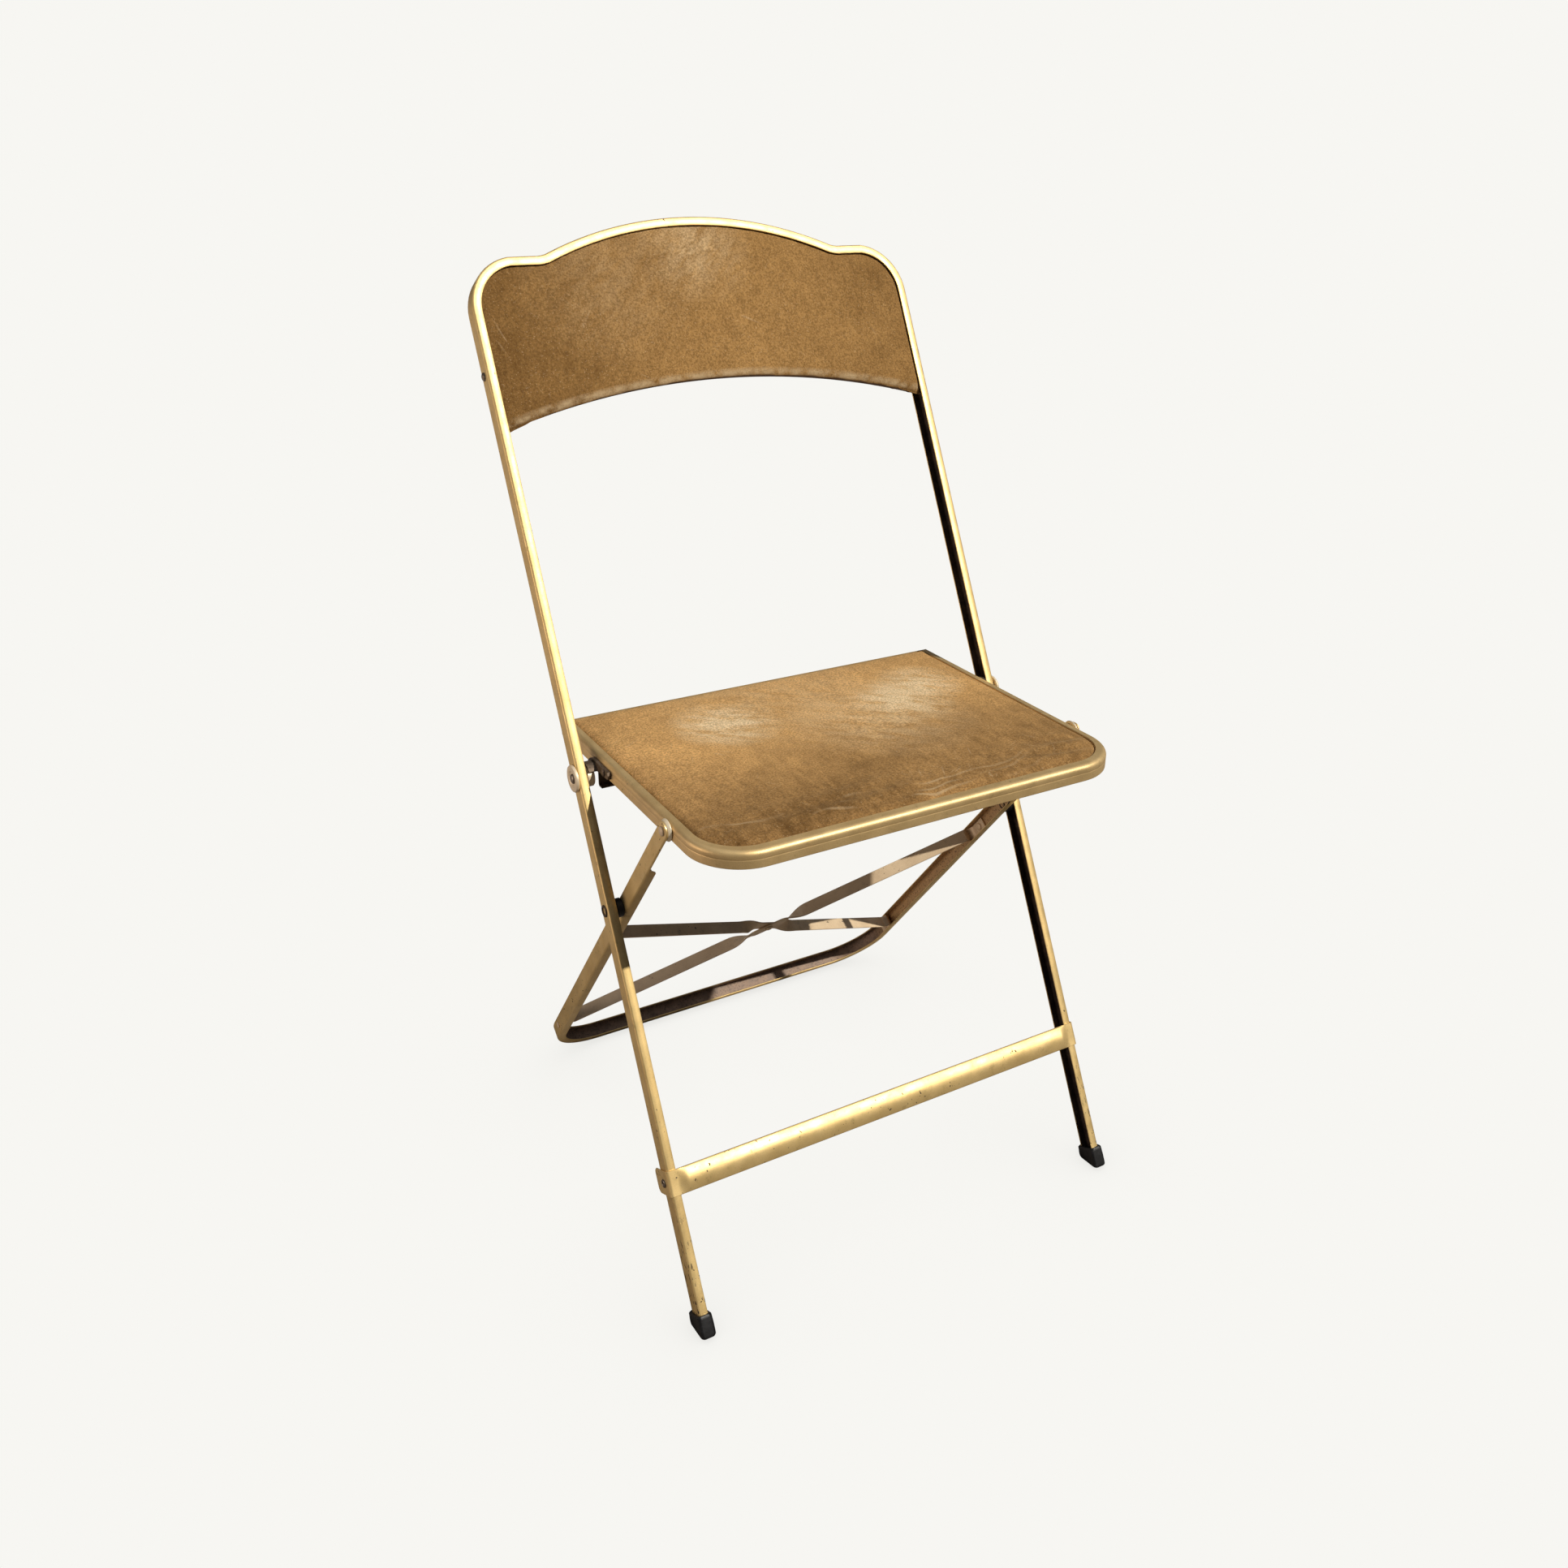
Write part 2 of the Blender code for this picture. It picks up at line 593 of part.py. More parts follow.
def make_seat_rim():
    path = seat_path()
    low = -RAIL_HEIGHT
    rings = []
    for i, (x, y) in enumerate(path):
        along = min(1, max(0, (SEAT_CORNER - SEAT_FRONT - y) / SEAT_CORNER))
        lip = LIP_SIDE + (LIP_FRONT - LIP_SIDE) * along
        outer = arc((RAIL_ROUND, -RAIL_ROUND), RAIL_ROUND, 90, 180, 4)
        inner = [(0, low), (RAIL_HEM, low), (RAIL_HEM, low + SHEET), (SHEET, low + SHEET)]
        inner += [(SHEET, -RAIL_ROUND), (RAIL_ROUND, -SHEET), (lip, -SHEET), (lip, 0)]
        ring = []
        for u, w in outer + inner:
            px, py = seat_inset(path, i, u)
            ring.append((px, py, SEAT_TOP + w))
        rings.append(ring)
    rim = solid("seat_rim", rings, SEAT, "gold", closed=True)
    holes = []
    for side in SIDES.values():
        x = side * (SEAT_HALF - SHEET / 2)
        holes.append((x, 0, 0, 0.002, 0.0033))
        holes.append((x, REST_ON_SEAT.y + TAB_RIVET[0], REST_ON_SEAT.z + TAB_RIVET[1], 0.002, 0.0021))
    drill(rim, "cut_seat_rim", holes)
    nubs = [(s * NUB_X, SEAT_BACK - SHEET / 2, SEAT_TOP - NUB_DROP, 0.002, 0.0014) for s in SIDES.values()]
    drill(rim, "cut_seat_rear", nubs, axis="y")


def make_seat_filling():
    """The board that fills the rim and the cushion on it, which comes up through the rim."""
    path = seat_path()
    board = []
    for z in (BOARD_TOP, BOARD_LOW):
        outline = [seat_inset(path, i, BOARD_INSET) for i in range(len(path))]
        board.append([(x, y, SEAT_TOP + z) for x, y in outline])
    solid("seat_board", board, SEAT, "board")
    edge = LIP_FRONT + GAP
    steps = [(edge, CUSHION_LOW), (edge, CUSHION_TOP * 0.3), (edge + 0.0012, CUSHION_TOP * 0.7)]
    steps += [(edge + 0.0045, CUSHION_TOP)]
    cushion = []
    for inset, z in steps:
        ring = []
        for i, (x, y) in enumerate(path):
            px, py = seat_inset(path, i, inset)
            # The side lips are narrower than the front one, the rear lip narrower still.
            widen = (LIP_FRONT - LIP_SIDE) * min(1, max(0, (y + SEAT_FRONT) / SEAT_CORNER))
            px += math.copysign(widen, px) if abs(px) > GAP else 0
            py -= max(0, inset - LIP_FRONT) if y > SEAT_BACK - GAP else 0
            ring.append((px, py, SEAT_TOP + z))
        cushion.append(ring)
    solid("seat_cushion", cushion, SEAT, "velvet")


def make_crossbar():
    """A shallow channel across the underside, below the board beside the rest pins, open to the front."""
    top, low = SEAT_TOP + BOARD_LOW - GAP, CROSSBAR_LOW
    rear, front = CROSSBAR_Y, CROSSBAR_Y - CROSSBAR_FLANGE
    section = [(front, top), (rear, top), (rear, low), (front, low)]
    section += [(front, low + SHEET), (rear - SHEET, low + SHEET), (rear - SHEET, top - SHEET), (front, top - SHEET)]
    rings = [[(x, y, z) for y, z in section] for x in (-CROSSBAR_HALF, CROSSBAR_HALF)]
    solid("seat_crossbar", rings, SEAT, "gold")


def saddle_outline(inner, outer):
    """(y, z) arcs about the pin's axis: the one over the pin, then the outer one, which runs back."""
    front, rear = SADDLE_ENDS
    steps = 11
    over_pin = arc((0, 0), inner, 90 - front, 90 - rear, steps)
    outside = arc((0, 0), outer, 90 - rear, 90 - front, steps)
    return over_pin, outside


def make_saddles():
    """A bracket on each seat rail whose saddle rests over the pin on the leg."""
    near, saddle_over = saddle_outline(PIN_RADIUS + GAP, SADDLE_RADIUS)
    near_plate, plate_over = saddle_outline(PIN_RADIUS + 2 * GAP, SADDLE_PLATE)
    tab = [(-0.0300, 0.0136), (-0.0312, 0.0110), (-0.0300, 0.0072), (-0.0140, 0.0072)]
    plate = near_plate + plate_over[:8] + tab
    saddle = near + saddle_over
    plate_inner = SEAT_HALF + GAP
    for name, side in SIDES.items():
        rings = []
        for outline, x in ((plate, plate_inner), (plate, PLATE_OUTER), (saddle, PLATE_OUTER), (saddle, SADDLE_OUTER)):
            rings.append([(side * x, REST_ON_SEAT.y + y, REST_ON_SEAT.z + z) for y, z in outline])
        bracket = solid(f"rest_saddle_{name}", rings, SEAT, "gold")
        spot = (REST_ON_SEAT.y + TAB_RIVET[0], REST_ON_SEAT.z + TAB_RIVET[1])
        drill(bracket, f"cut_saddle_{name}", [(side * (plate_inner + 0.0015), *spot, 0.004, 0.0021)])
        grip = rivet(0.0031, 0.0018, PLATE_OUTER + GAP, SEAT_HALF - SHEET - GAP, 0.0012)
        turned(f"saddle_rivet_{name}", [(r, side * a) for r, a in grip], (0, *spot), SEAT, "gold")


def make_seat_pins():
    """Domed rivets that join the seat to the rear frame, with a washer between, and a nub at each rear corner."""
    for name, side in SIDES.items():
        grip = rivet(0.0050, 0.0030, REAR_HALF + GAP, SEAT_HALF - SHEET - GAP, 0.0022)
        turned(f"seat_rivet_{name}", [(r, side * a) for r, a in grip], (0, 0, 0), SEAT, "gold")
        inner, outer = SEAT_HALF + GAP, REAR_WEB - GAP
        ring = [(0.0075, inner), (0.0075, outer), (0.0034, outer), (0.0034, inner)]
        turned(f"seat_washer_{name}", [(r, side * a) for r, a in ring], (0, 0, 0), SEAT, "brass", bored=True)
        grip = rivet(0.0022, 0.0011, SEAT_BACK + GAP, SEAT_BACK - SHEET - GAP, 0.0028)
        turned(f"seat_nub_{name}", grip, (side * NUB_X, 0, SEAT_TOP - NUB_DROP), SEAT, "gold", axis="y")


def main():
    clear_scene()
    make_main_frame()
    make_foot_caps()
    make_stretcher()
    make_back()
    make_hinge_pins()
    make_rest_pins()
    make_rear_frame()
    make_brace()
    make_seat_rim()
    make_seat_filling()
    make_crossbar()
    make_saddles()
    make_seat_pins()


main()
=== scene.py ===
"""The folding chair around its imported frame: finer metal, cloth pads, materials, light and camera."""

import math

import bmesh
import bpy
from mathutils import Matrix, Vector, noise


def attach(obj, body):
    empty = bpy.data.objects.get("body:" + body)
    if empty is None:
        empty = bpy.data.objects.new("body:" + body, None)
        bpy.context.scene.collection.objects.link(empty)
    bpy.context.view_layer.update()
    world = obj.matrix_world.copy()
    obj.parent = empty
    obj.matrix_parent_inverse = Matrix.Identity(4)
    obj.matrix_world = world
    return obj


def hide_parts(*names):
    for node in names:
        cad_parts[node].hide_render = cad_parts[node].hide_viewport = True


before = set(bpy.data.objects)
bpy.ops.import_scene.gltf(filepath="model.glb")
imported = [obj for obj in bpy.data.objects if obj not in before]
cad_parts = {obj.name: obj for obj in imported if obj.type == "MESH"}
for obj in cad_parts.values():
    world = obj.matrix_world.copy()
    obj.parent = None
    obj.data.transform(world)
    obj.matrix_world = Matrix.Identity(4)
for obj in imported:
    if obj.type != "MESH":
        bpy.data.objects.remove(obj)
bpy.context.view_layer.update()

# The chair's own sizes, in metres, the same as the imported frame's.
GAP = 0.0003
SHEET = 0.0012
LEAN = math.radians(30.82)
FRAME_HALF = 0.2105
FRAME_DEPTH = 0.0165
FRAME_FLANGE = 0.0080
FRAME_MID = FRAME_DEPTH / 2
SHOULDER_LOW = 0.855
SHOULDER_RADIUS = 0.045
SHOULDER_HIGH = SHOULDER_LOW + SHOULDER_RADIUS
NOTCH_X = 0.1407
ARCH_TOP = 0.930
CAP_HEIGHT = 0.022
CAP_WALL = 0.0017
CAP_SOLE = 0.003
CAP_FULL = 0.0009
SOLE_TURN = 0.68
STRETCHER_MID = 0.1312
STRETCHER_HALF = 0.0107
STRETCHER_CROWN = 0.0032
FLAP_BACK = 0.0245
BACK_LOW = 0.754
BACK_RISE = 0.031
SCREW_HEIGHT = 0.804
SCREW_DEPTH = 0.0094
HINGE_HEIGHT = 0.3579
REAR_TILT = math.radians(34.70)
REAR_HALF = 0.1958
REAR_DEPTH = 0.0155
REAR_FLANGE = 0.0088
REAR_RADIUS = 0.055
SEAT_HINGE = 0.1395
FLANGE_TOP = SEAT_HINGE - 0.054
FLANGE_ROUND = 0.010
FLANGE_START = 0.0024
BRACE_TOP = -0.0470
BRACE_LOW = -0.2955
BRACE_WIDTH = 0.0120
BRACE_THICK = 0.0016
BRACE_TAB = 0.009
BRACE_BEND = 0.012
TWIST_NEAR = 0.014
TWIST_FAR = 0.044
SEAT_TILT = math.radians(3.6)
SEAT_HALF = 0.191
SEAT_BACK = 0.2162
SEAT_FRONT = 0.0738
SEAT_TOP = 0.0074
SEAT_CORNER = 0.045
RAIL_HEIGHT = 0.0142
LIP_SIDE = 0.008
LIP_FRONT = 0.010
LIP_BACK = 0.004
NUB_X = 0.1845
NUB_DROP = 0.0045
REST_HEIGHT = 0.4687
PIN_RADIUS = 0.0090
PIN_INNER = 0.1962
PLATE_OUTER = 0.1943
TAB_RIVET = (-0.0220, 0.0103)
CROSS_Y = 0.1480
CROSS_TOP = -0.0084
CROSS_LOW = -0.0275
CROSS_FOOT = 0.0070
CROSS_HALF = 0.1862
HEM_INSIDE = 0.0020
DISC_FACE = 0.0014
PIN_FLOOR = 0.0020
REAR_WEB = REAR_HALF - SHEET
FRAME_WEB = FRAME_HALF - SHEET

TURNED_SEGMENTS = 40
PAD_VOXEL = 0.0045
SWELL_FRAMES = 20

SIDES = {"l": -1, "r": 1}


def clamped(value):
    return min(1.0, max(0.0, value))


def eased(share):
    return share * share * (3 - 2 * share)


def add_object(name, data):
    made = bpy.data.objects.new(name, data)
    bpy.context.scene.collection.objects.link(made)
    return made


def paint(piece, look):
    piece.data.materials.clear()
    piece.data.materials.append(look)


def frame_at(origin_y, origin_z, turn):
    return Matrix.Translation((0, origin_y, origin_z)) @ Matrix.Rotation(turn, 4, "X")


# The tilted frames in which the pieces are drawn: main frame, rear frame and seat, each on its own hinge.
REACH_BACK = ARCH_TOP * math.sin(LEAN) + FRAME_DEPTH * math.cos(LEAN)
REACH_FRONT = (CAP_WALL + GAP) / math.cos(LEAN)
MAIN = frame_at((REACH_FRONT - REACH_BACK) / 2, 0, -LEAN)
HINGE_POINT = (MAIN @ Matrix.Translation((0, FRAME_MID, HINGE_HEIGHT))).translation
REAR = frame_at(HINGE_POINT.y, HINGE_POINT.z, REAR_TILT)
REAR_LENGTH = (HINGE_POINT.z - REAR_DEPTH / 2 * math.sin(REAR_TILT)) / math.cos(REAR_TILT)
SEAT_POINT = (REAR @ Matrix.Translation((0, 0, SEAT_HINGE))).translation
SEAT = frame_at(SEAT_POINT.y, SEAT_POINT.z, -SEAT_TILT)
REST_ON_SEAT = SEAT.inverted() @ (MAIN @ Matrix.Translation((0, FRAME_MID, REST_HEIGHT))).translation


# --- materials


class Nodes:
    """Short calls for building one material's node tree."""

    def __init__(self, name):
        self.material = bpy.data.materials.new(name)
        self.material.use_nodes = True
        self.tree = self.material.node_tree
        self.shader = self.tree.nodes["Principled BSDF"]
        self.place = self.add("ShaderNodeTexCoord").outputs["Object"]

    def add(self, kind, **inputs):
        node = self.tree.nodes.new(kind)
        for key, value in inputs.items():
            self.feed(node.inputs[key.replace("_", " ")], value)
        return node

    def feed(self, socket, value):
        if isinstance(value, bpy.types.NodeSocket):
            self.tree.links.new(value, socket)
        else:
            socket.default_value = value

    def stretched(self, scale):
        return self.add("ShaderNodeMapping", Vector=self.place, Scale=scale).outputs[0]

    def slanted(self, grain, turn, scale):
        """The place turned about the axis square to the cloth, then stretched."""
        axis = (0, 0, 1) if grain[1] < 1 else (0, 1, 0)
        rotation = [math.radians(turn) * part for part in axis]
        turned_place = self.add("ShaderNodeMapping", Vector=self.place, Rotation=rotation)
        return self.add("ShaderNodeMapping", Vector=turned_place.outputs[0], Scale=scale).outputs[0]

    def noise(self, scale, detail=3.0, rough=0.5, place=None):
        inputs = {"Vector": place or self.place, "Scale": scale, "Detail": detail, "Roughness": rough}
        return self.add("ShaderNodeTexNoise", **inputs).outputs[0]

    def ramp(self, value, low, high, start=0.0, end=1.0):
        """A number mapped from low..high to start..end and clamped."""
        node = self.add("ShaderNodeMapRange", Value=value)
        for i, number in enumerate((low, high, start, end)):
            node.inputs[i + 1].default_value = number
        return node.outputs[0]

    def math(self, operation, a, b=0.0):
        node = self.tree.nodes.new("ShaderNodeMath")
        node.operation = operation
        self.feed(node.inputs[0], a)
        self.feed(node.inputs[1], b)
        return node.outputs[0]

    def mix(self, share, a, b):
        node = self.tree.nodes.new("ShaderNodeMix")
        node.data_type = "RGBA"
        self.feed(node.inputs[0], share)
        self.feed(node.inputs[6], a if isinstance(a, bpy.types.NodeSocket) else (*a, 1))
        self.feed(node.inputs[7], b if isinstance(b, bpy.types.NodeSocket) else (*b, 1))
        return node.outputs[2]

    def bump(self, height, distance, strength, over=None):
        node = self.add("ShaderNodeBump", Height=height, Distance=distance, Strength=strength)
        if over:
            self.tree.links.new(over, node.inputs["Normal"])
        return node.outputs[0]

    def spot(self, centre, radius, soft):
        """1 inside a round patch of the surface, fading to 0 at its edge."""
        away = self.tree.nodes.new("ShaderNodeVectorMath")
        away.operation = "DISTANCE"
        self.tree.links.new(self.place, away.inputs[0])
        away.inputs[1].default_value = centre
        return self.ramp(away.outputs["Value"], radius - soft, radius + soft, 1, 0)

    def axis(self, name):
        return self.add("ShaderNodeSeparateXYZ", Vector=self.place).outputs[name]

    def set(self, **inputs):
        for key, value in inputs.items():
            self.feed(self.shader.inputs[key.replace("_", " ")], value)
        return self.material


def enamel_material(name, colour, shade, chips, low_wear=0.0, metal=0.62):
    """Satin gold enamel: metallic flake, mottled colour, orange peel, and chips down to dark steel.

    chips spreads the chips over the piece, and below the height low_wear the enamel is flaked as well.
    """
    n = Nodes(name)
    tone = n.ramp(n.noise(38, 4, 0.6), 0.35, 0.65)
    body = n.mix(tone, colour, shade)
    flake = n.ramp(n.noise(1400, 2, 0.6), 0.35, 0.65, 0, 0.22)
    body = n.mix(flake, body, tuple(c * 0.6 for c in shade))
    stain = n.ramp(n.noise(150, 5, 0.7), 0.58, 0.72, 0, 0.45)
    body = n.mix(stain, body, tuple(c * 0.5 for c in shade))
    speck = n.ramp(n.noise(360, 2, 0.5, n.stretched((1, 1, 0.6))), 0.690, 0.705)
    where = n.ramp(n.noise(17, 2, 0.5), 0.60 - 0.12 * chips, 0.66 - 0.12 * chips)
    chip = n.math("MULTIPLY", speck, where)
    if low_wear:
        flaked = n.ramp(n.noise(300, 4, 0.65, n.stretched((1, 1, 0.35))), 0.585, 0.605)
        low_down = n.ramp(n.axis("Z"), low_wear * 0.4, low_wear, 1, 0)
        chip = n.math("MAXIMUM", chip, n.math("MULTIPLY", flaked, low_down))
    body = n.mix(chip, body, (0.045, 0.026, 0.017))
    gloss = n.ramp(n.noise(90, 3, 0.6), 0.3, 0.7, 0.42, 0.54)
    gloss = n.math("ADD", gloss, n.math("MULTIPLY", chip, 0.3))
    sheet = n.ramp(chip, 0, 1, metal, 0.2)
    peel = n.bump(n.noise(1100, 2, 0.5), 0.00005, 0.6)
    peel = n.bump(n.math("MULTIPLY", chip, -1.0), 0.00015, 0.6, over=peel)
    return n.set(Base_Color=body, Roughness=gloss, Metallic=sheet, Normal=peel)


def inside_material(name, dull, dust_and_shade, metal, painted=None, painted_from=0.0):
    """The inside of a channel or a part in shadow, darkened as painted shade: dust mottling between two dark
    colours, speckled overspray, and paint above the height painted_from.
    """
    n = Nodes(name)
    dust = n.ramp(n.noise(110, 5, 0.7), 0.40, 0.66)
    body = n.mix(dust, dull, dust_and_shade)
    if painted:
        body = n.mix(n.ramp(n.axis("Z"), painted_from, painted_from + 0.05), body, painted)
    grain = n.ramp(n.noise(520, 3, 0.6), 0.56, 0.64, 0, 0.75)
    body = n.mix(grain, body, tuple(c * 0.4 for c in dull))
    rough = n.ramp(dust, 0, 1, 0.46, 0.66)
    return n.set(Base_Color=body, Roughness=rough, Metallic=metal, Normal=n.bump(grain, 0.0001, 0.5))


def velvet_material(name, dark, light, grain, shade_of=None, rubs=(), pale_line=None):
    """Short brown velvet: brushed pile with lint, a darker end, rubbed pale patches and long faint scratches.
    On the seat the darker end is painted shade.

    grain stretches the brushing along the cloth, and shade_of gives 0..1 from dark to light over the piece.
    Each of rubs is a patch's centre, radius, softness and strength. The last argument gives 0..1 along pale
    lines: an edge rubbed bare on the back, and painted highlights on the seat's crease ridges.
    """
    n = Nodes(name)
    nap = n.noise(7, 5, 0.65)
    cloud = n.noise(42, 6, 0.72)
    brushed = n.noise(150, 4, 0.7, n.stretched(grain))
    wear_and_shade = n.math("ADD", n.math("MULTIPLY", nap, 0.40), n.math("MULTIPLY", cloud, 0.32))
    wear_and_shade = n.math("ADD", wear_and_shade, n.math("MULTIPLY", brushed, 0.28))
    wear_and_shade = n.ramp(wear_and_shade, 0.37, 0.63)
    # Half of the tone comes from shade_of: on the seat, painted shade towards the front.
    if shade_of:
        wear_and_shade = n.math("ADD", n.math("MULTIPLY", wear_and_shade, 0.5), n.math("MULTIPLY", shade_of(n), 0.5))
    body = n.mix(wear_and_shade, dark, light)
    streaks = n.ramp(n.noise(75, 6, 0.78, n.slanted(grain, 38, (0.3, 1, 1))), 0.40, 0.57, 0.15, 1)
    for centre, radius, soft, amount in rubs:
        patch = n.math("MULTIPLY", n.spot(centre, radius, soft), streaks)
        body = n.mix(n.math("MULTIPLY", patch, amount), body, (0.98, 0.74, 0.44))
    for turn, seed in ((24, 19), (-38, 23), (62, 27)):
        line = n.slanted(grain, turn, tuple(0.08 if g < 1 else 1 for g in grain))
        hair = n.ramp(n.noise(330, 1, 0.4, line), 0.69, 0.74, 0, 0.30)
        hair = n.math("MULTIPLY", hair, n.ramp(n.noise(seed, 2, 0.5), 0.56, 0.66))
        body = n.mix(hair, body, (0.74, 0.53, 0.30))
    fleck = n.ramp(n.noise(640, 3, 0.6), 0.36, 0.62, 0.50, 0.0)
    body = n.mix(fleck, body, tuple(c * 0.42 for c in dark))
    lint = n.ramp(n.noise(900, 2, 0.5), 0.64, 0.72, 0, 0.40)
    body = n.mix(lint, body, (0.72, 0.52, 0.30))
    # Pale lines: rubbed bare along the back's lower edge, painted highlights on the seat's crease ridges.
    if pale_line:
        body = n.mix(n.math("MULTIPLY", pale_line(n), 0.75), body, (0.62, 0.46, 0.27))
    pile = n.noise(1100, 3, 0.6)
    lumps = n.bump(n.noise(26, 4, 0.6), 0.0022, 0.6)
    folds = n.bump(brushed, 0.0005, 0.45, over=lumps)
    fuzz = n.bump(pile, 0.0007, 0.8, over=folds)
    n.set(Base_Color=body, Roughness=0.95, Normal=fuzz, Sheen_Weight=0.25, Sheen_Roughness=0.35)
    return n.set(Sheen_Tint=(1.0, 0.72, 0.38, 1), Specular_IOR_Level=0.1)


def seat_painted_shade(n):
    """Painted shade: darker towards the front edge."""
    return n.ramp(n.axis("Y"), -0.045, 0.105)


def seat_crease_highlights(n):
    """Painted highlights on the crease ridges along the front edge of the cushion, where it has been sat on:
    pale broken lines, bowed with the edge.
    """
    wander = n.ramp(n.noise(16, 2, 0.5), 0.3, 0.7, -0.007, 0.007)
    square = n.math("MULTIPLY", n.axis("X"), n.axis("X"))
    found = 0.0
    for level, bow in ((-0.056, 0.35), (-0.049, 0.75), (-0.039, 0.30)):
        away = n.math("SUBTRACT", n.axis("Y"), n.math("MULTIPLY", square, bow))
        away = n.math("ABSOLUTE", n.math("ADD", n.math("SUBTRACT", away, level), wander))
        found = n.math("MAXIMUM", found, n.ramp(away, 0.0003, 0.0020, 1, 0))
    broken = n.ramp(n.noise(30, 3, 0.6, n.stretched((0.5, 1, 1))), 0.45, 0.62, 0, 0.7)
    return n.math("MULTIPLY", n.math("MULTIPLY", found, broken), n.ramp(n.axis("X"), 0.0, 0.12, 1, 0.2))


def back_shade(n):
    """Darker towards the left end, lightest right of the middle."""
    return n.ramp(n.math("ABSOLUTE", n.math("ADD", n.axis("X"), -0.04)), 0.24, 0.0)


def back_fold(n):
    """The lower edge, where the velvet is rolled over the board and rubbed."""
    bow = n.math("MULTIPLY", n.math("MULTIPLY", n.axis("X"), n.axis("X")), 0.685)
    above = n.math("ADD", n.math("ADD", n.axis("Z"), bow), -(BACK_LOW + BACK_RISE))
    band = n.math("MULTIPLY", n.ramp(above, 0.0006, 0.0022), n.ramp(above, 0.0045, 0.0085, 1, 0))
    return n.math("MULTIPLY", band, n.ramp(n.noise(70, 5, 0.7), 0.36, 0.58))


def rubber_material():
    n = Nodes("cap_rubber")
    dust = n.ramp(n.noise(180, 4, 0.6), 0.5, 0.75)
    body = n.mix(dust, (0.0018, 0.0018, 0.0026), (0.006, 0.006, 0.008))
    rough = n.ramp(dust, 0, 1, 0.48, 0.65)
    return n.set(Base_Color=body, Roughness=rough, Normal=n.bump(n.noise(600, 3, 0.6), 0.0001, 0.6))


def board_material():
    n = Nodes("pressed_board")
    fibre = n.noise(260, 6, 0.7, n.stretched((1, 0.4, 1)))
    body = n.mix(n.ramp(fibre, 0.35, 0.65), (0.085, 0.048, 0.022), (0.17, 0.10, 0.048))
    rough = n.ramp(fibre, 0.3, 0.7, 0.7, 0.9)
    return n.set(Base_Color=body, Roughness=rough, Normal=n.bump(fibre, 0.0002, 0.7))


def metal_material(name, colour, dull, rough, metal=0.9):
    n = Nodes(name)
    tarnish = n.ramp(n.noise(260, 5, 0.7), 0.42, 0.66)
    body = n.mix(tarnish, colour, dull)
    roughness = n.ramp(tarnish, 0, 1, rough, rough + 0.25)
    grain = n.bump(n.noise(800, 2, 0.5), 0.00005, 0.6)
    return n.set(Base_Color=body, Roughness=roughness, Metallic=metal, Normal=grain)


ENAMEL = ((0.92, 0.68, 0.31), (0.80, 0.57, 0.24))
GOLD = enamel_material("gold_enamel", *ENAMEL, chips=1.0)
LEG_GOLD = enamel_material("leg_enamel", *ENAMEL, chips=0.3, low_wear=0.13, metal=0.74)
RIM_GOLD = enamel_material("rim_enamel", (0.86, 0.62, 0.30), (0.74, 0.52, 0.24), chips=0.2)
STRAP_GOLD = enamel_material("strap_enamel", (0.92, 0.72, 0.48), (0.78, 0.59, 0.38), chips=0.8, metal=0.2)
# Near black inside the main frame's channel: painted shade in its hollow, over faint dust mottling.
SHADED_INSIDE = inside_material("channel_inside", (0.030, 0.018, 0.014), (0.085, 0.055, 0.038), 0.1)
# Darker along the floor bar, painted shade where the seat shades it, with dust mottling; the gold paint
# colour up the legs.
LEG_PAINT = (0.62, 0.40, 0.19)
REAR_INSIDE = inside_material(
    "rear_channel_inside", (0.195, 0.125, 0.082), (0.345, 0.230, 0.155), 0.1, LEG_PAINT, 0.035 - REAR_LENGTH
)
# Dark brown for the saddles and their rivets, the seat crossbar and the hinge eyelets: painted shade, as they
# sit in shadow.
SHADED_BRACKET = inside_material("bracket", (0.10, 0.070, 0.045), (0.20, 0.145, 0.10), 0.6)
RUBBER = rubber_material()
BOARD = board_material()
BRASS = metal_material("bright_brass", (0.99, 0.88, 0.66), (0.90, 0.74, 0.50), 0.38, 0.4)
# A paler copy of the gold enamel for the outer discs and rest studs: painted highlight, where they catch the
# light.
DISC_HIGHLIGHT_GOLD = enamel_material("disc_enamel_painted_highlight", (0.98, 0.84, 0.62), (0.92, 0.74, 0.50), chips=0.4, metal=0.4)
STEEL = metal_material("dull_steel", (0.32, 0.27, 0.22), (0.10, 0.07, 0.05), 0.40)
SEAT_RUBS = [
    ((-0.076, 0.130, 0.012), 0.026, 0.026, 1.7),
    ((0.050, 0.080, 0.012), 0.045, 0.044, 0.5),
    ((0.086, 0.104, 0.012), 0.025, 0.024, 1.7),
    ((0.122, 0.132, 0.012), 0.024, 0.023, 1.5),
    ((0.000, 0.165, 0.012), 0.075, 0.060, 0.25),
]
BACK_RUBS = [
    ((0.000, 0.002, 0.905), 0.030, 0.028, 0.45),
    ((-0.090, 0.002, 0.880), 0.045, 0.040, 0.15),
]
ALONG_SEAT, ALONG_BACK = (1, 0.3, 1), (1, 1, 0.3)
# The seat's velvet is darker towards its front edge: painted shade.
SEAT_BROWN = ((0.110, 0.052, 0.014), (0.900, 0.520, 0.196))
